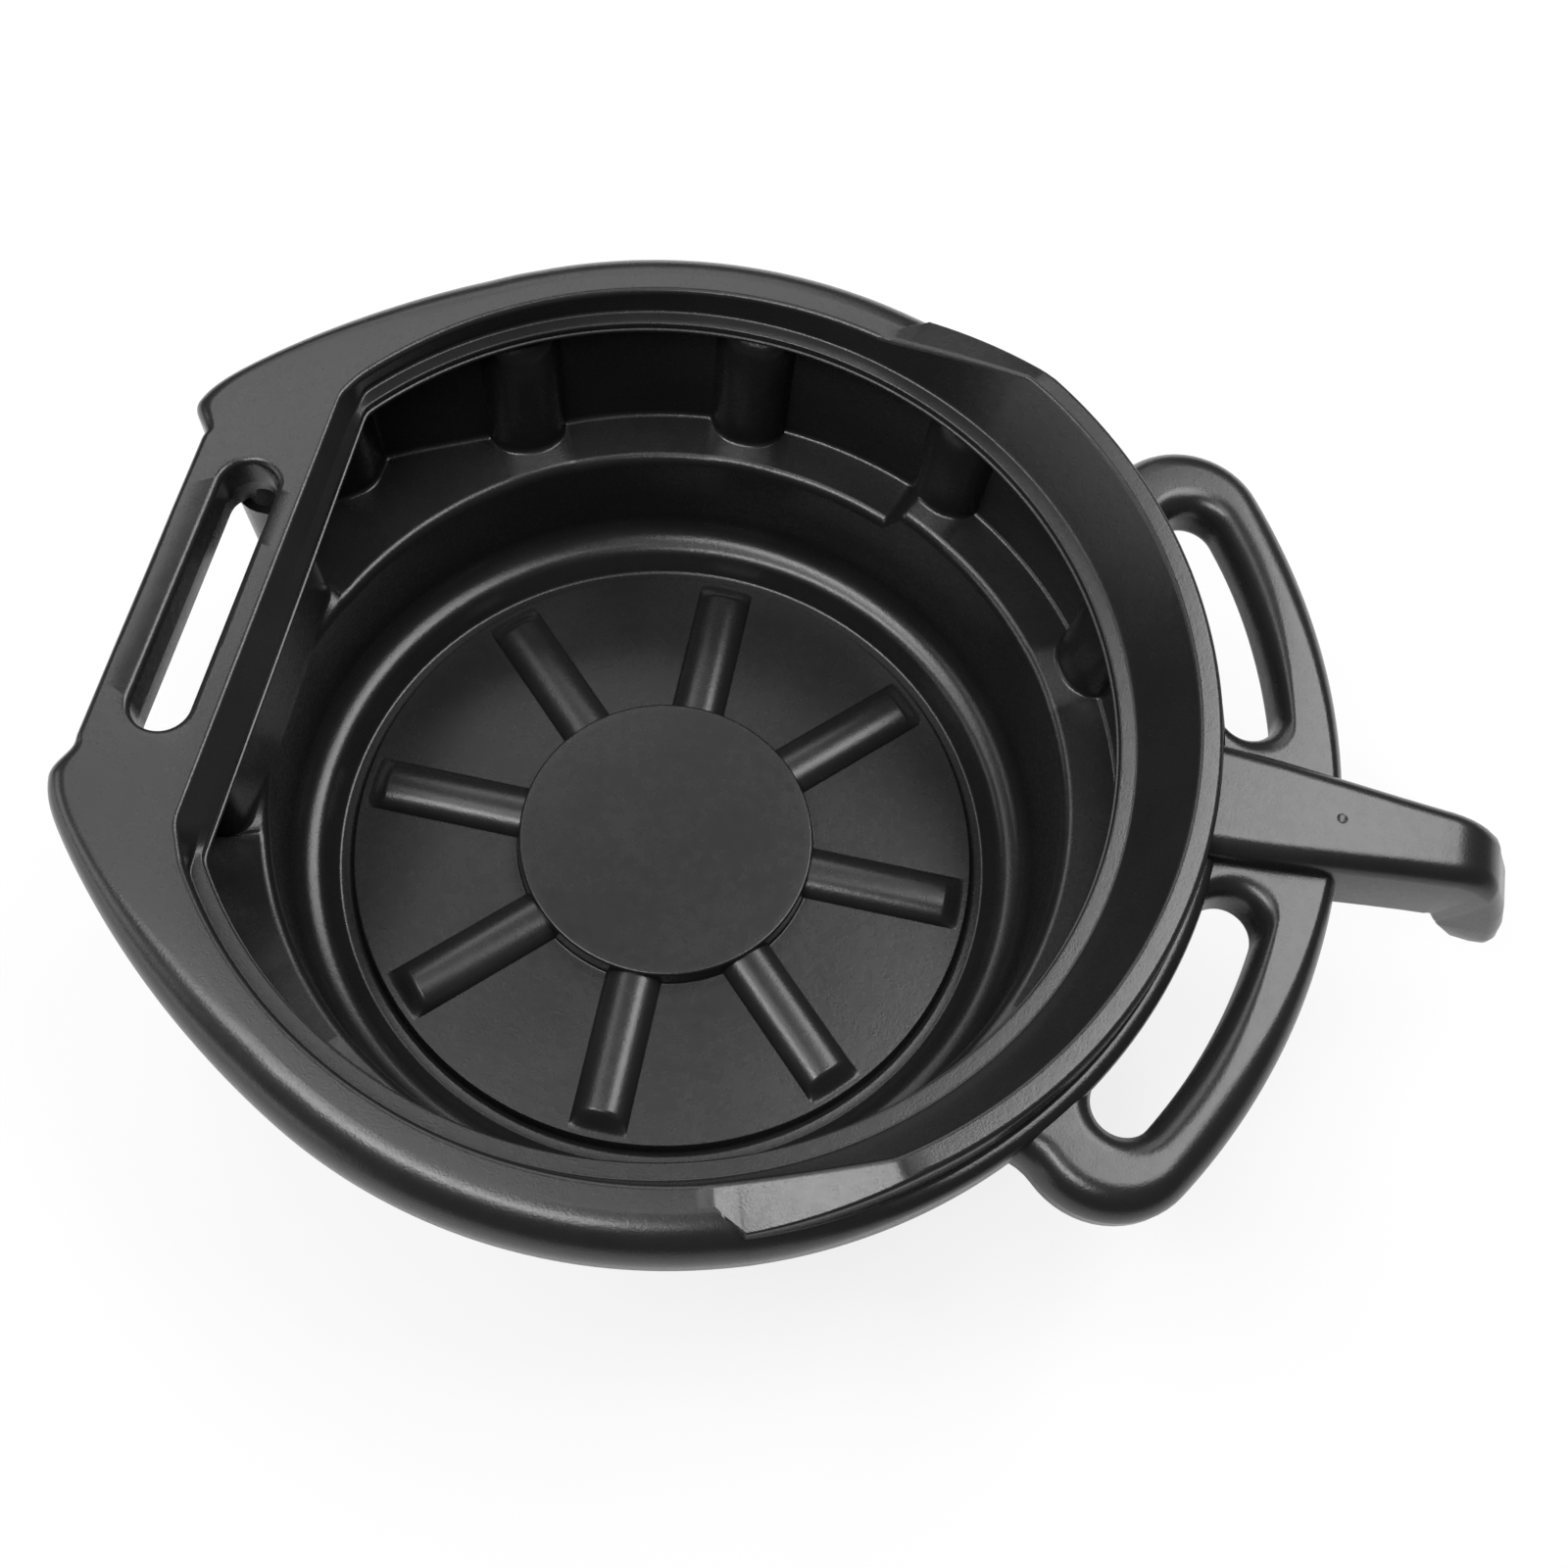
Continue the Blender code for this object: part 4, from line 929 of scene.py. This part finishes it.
def make_arm(material):
    """The arm's beam and its turned-down end, in sections between its top and its underside."""
    top = [(x, ARM_Z) for x in ARM_TOP_X]
    low = [(x, ARM_UNDER_Z) for x in ARM_LOW_X]
    crown_middle = (CROWN_X, ARM_Z - CROWN_RADIUS)
    top += [tuple(p) for p in arc_points(crown_middle, CROWN_RADIUS, *CROWN_TURNS, CROWN_STEPS)]
    top += [(TIP_X - back, HOOK_Z + rise) for back, rise in TIP_STEPS]
    foot = (HOOK_FOOT_X[0], HOOK_Z + HOOK_FOOT_RISE)
    inside = [
        ((THROAT_FROM_X, ARM_UNDER_Z), 0, 0),
        ((THROAT_X, ARM_UNDER_Z), THROAT_ROUNDING, 5),
        (HOOK_INSIDE, HOOK_INSIDE_ROUNDING, 5),
        (foot, 0, 0),
    ]
    inside_rows = rounded_rows([(np.array([corner]), rounding, steps) for corner, rounding, steps in inside])
    low += [tuple(p) for p in inside_rows[:-1, 0]]
    low += [foot, (HOOK_FOOT_X[1], HOOK_Z)]
    top, low = np.array(top), np.array(low)
    half = arm_half_width(np.minimum(top[:, 0], low[:, 0] + HOOK_LEAN))
    half[-2:] *= np.array(TIP_NARROWS)
    softness = np.interp(low[:, 1], (HOOK_Z, ARM_UNDER_Z), (TIP_SOFTNESS, 1.0))
    up = top - low
    tall = np.linalg.norm(up, axis=1, keepdims=True)
    up = up / tall
    rows = []
    above, below, beside = (ARM_ROUNDING, 6), (ARM_UNDER_ROUNDING, 4), (0, 0)
    roundings = (above, above, beside, below, below, beside)
    for (share, side), (rounding, steps) in zip(ARM_SIDES, roundings):
        spot = low + up * tall * share
        y = half * side
        points = np.stack([AXIS_X + spot[:, 0], y, spot[:, 1]], 1)
        rows.append((points, np.minimum(rounding * softness, ARM_MOST_ROUNDING * half), steps))
    loops = np.transpose(rounded_rows(rows), (1, 0, 2))
    arm = skin("arm", loops, "caps")
    face_out(arm)
    bpy.ops.object.select_all(action="DESELECT")
    ball_z = ARM_Z + DIMPLE_BALL - DIMPLE_DEPTH
    bpy.ops.mesh.primitive_uv_sphere_add(
        segments=DIMPLE_SEGMENTS,
        ring_count=DIMPLE_RINGS,
        radius=DIMPLE_BALL,
        location=(AXIS_X + DIMPLE_X, 0, ball_z),
    )
    bpy.ops.object.shade_smooth()
    cut(arm, bpy.context.object)
    finish_piece(arm, material, ["pull_arm", "arm_hook"])


def white_floor():
    material, shade = new_material("white_table")
    path = shade.node("ShaderNodeLightPath", output="Is Camera Ray")
    paint = shade.node("ShaderNodeBsdfDiffuse", None, {"Color": TABLE_PAINT})
    glow = shade.node("ShaderNodeEmission", None, {"Color": WHITE, "Strength": 1.0})
    mix = shade.node("ShaderNodeMixShader", None, {0: path * TABLE_GLOW, 1: paint, 2: glow})
    shade.node("ShaderNodeOutputMaterial", None, {"Surface": mix})
    bpy.ops.object.select_all(action="DESELECT")
    bpy.ops.mesh.primitive_plane_add(size=TABLE_SIZE)
    floor = bpy.context.object
    floor.name = "table"
    floor.data.materials.append(material)


def add_world():
    world = bpy.data.worlds.new("room")
    bpy.context.scene.world = world
    world.use_nodes = True
    world.node_tree.nodes.clear()
    shade = Shade(world.node_tree)
    seen = shade.node("ShaderNodeLightPath", output="Is Camera Ray")
    mirrored = shade.node("ShaderNodeLightPath", output="Is Glossy Ray")
    strength = ROOM_LIGHT + ROOM_SEEN * seen + ROOM_MIRRORED * mirrored
    glow = shade.node("ShaderNodeBackground", None, {"Color": WHITE, "Strength": strength})
    shade.node("ShaderNodeOutputWorld", None, {"Surface": glow})


def add_softbox(name, place, aim, size, power):
    light = bpy.data.lights.new(name, "AREA")
    light.shape = "RECTANGLE"
    light.size, light.size_y = size
    light.energy = power
    box = bpy.data.objects.new(name, light)
    bpy.context.scene.collection.objects.link(box)
    box.location = place
    box.rotation_euler = (Vector(aim) - Vector(place)).to_track_quat("-Z", "Y").to_euler()


def add_camera():
    data = bpy.data.cameras.new("camera")
    data.sensor_width = SENSOR
    data.lens = LENS
    camera = bpy.data.objects.new("camera", data)
    bpy.context.scene.collection.objects.link(camera)
    turned = Matrix.Rotation(CAMERA_AROUND, 4, "Z") @ Matrix.Rotation(CAMERA_TILT, 4, "X")
    turned = turned @ Matrix.Rotation(CAMERA_ROLL, 4, "Z")
    camera.matrix_world = Matrix.Translation(CAMERA_PLACE) @ turned
    bpy.context.scene.camera = camera


plastic = black_polyethylene()
make_pan(plastic)
make_ribs(plastic)
make_handle(plastic)
make_arm(plastic)
white_floor()
add_world()
for softbox in SOFTBOXES:
    add_softbox(*softbox)
add_camera()
bpy.context.scene.view_settings.view_transform = "Standard"
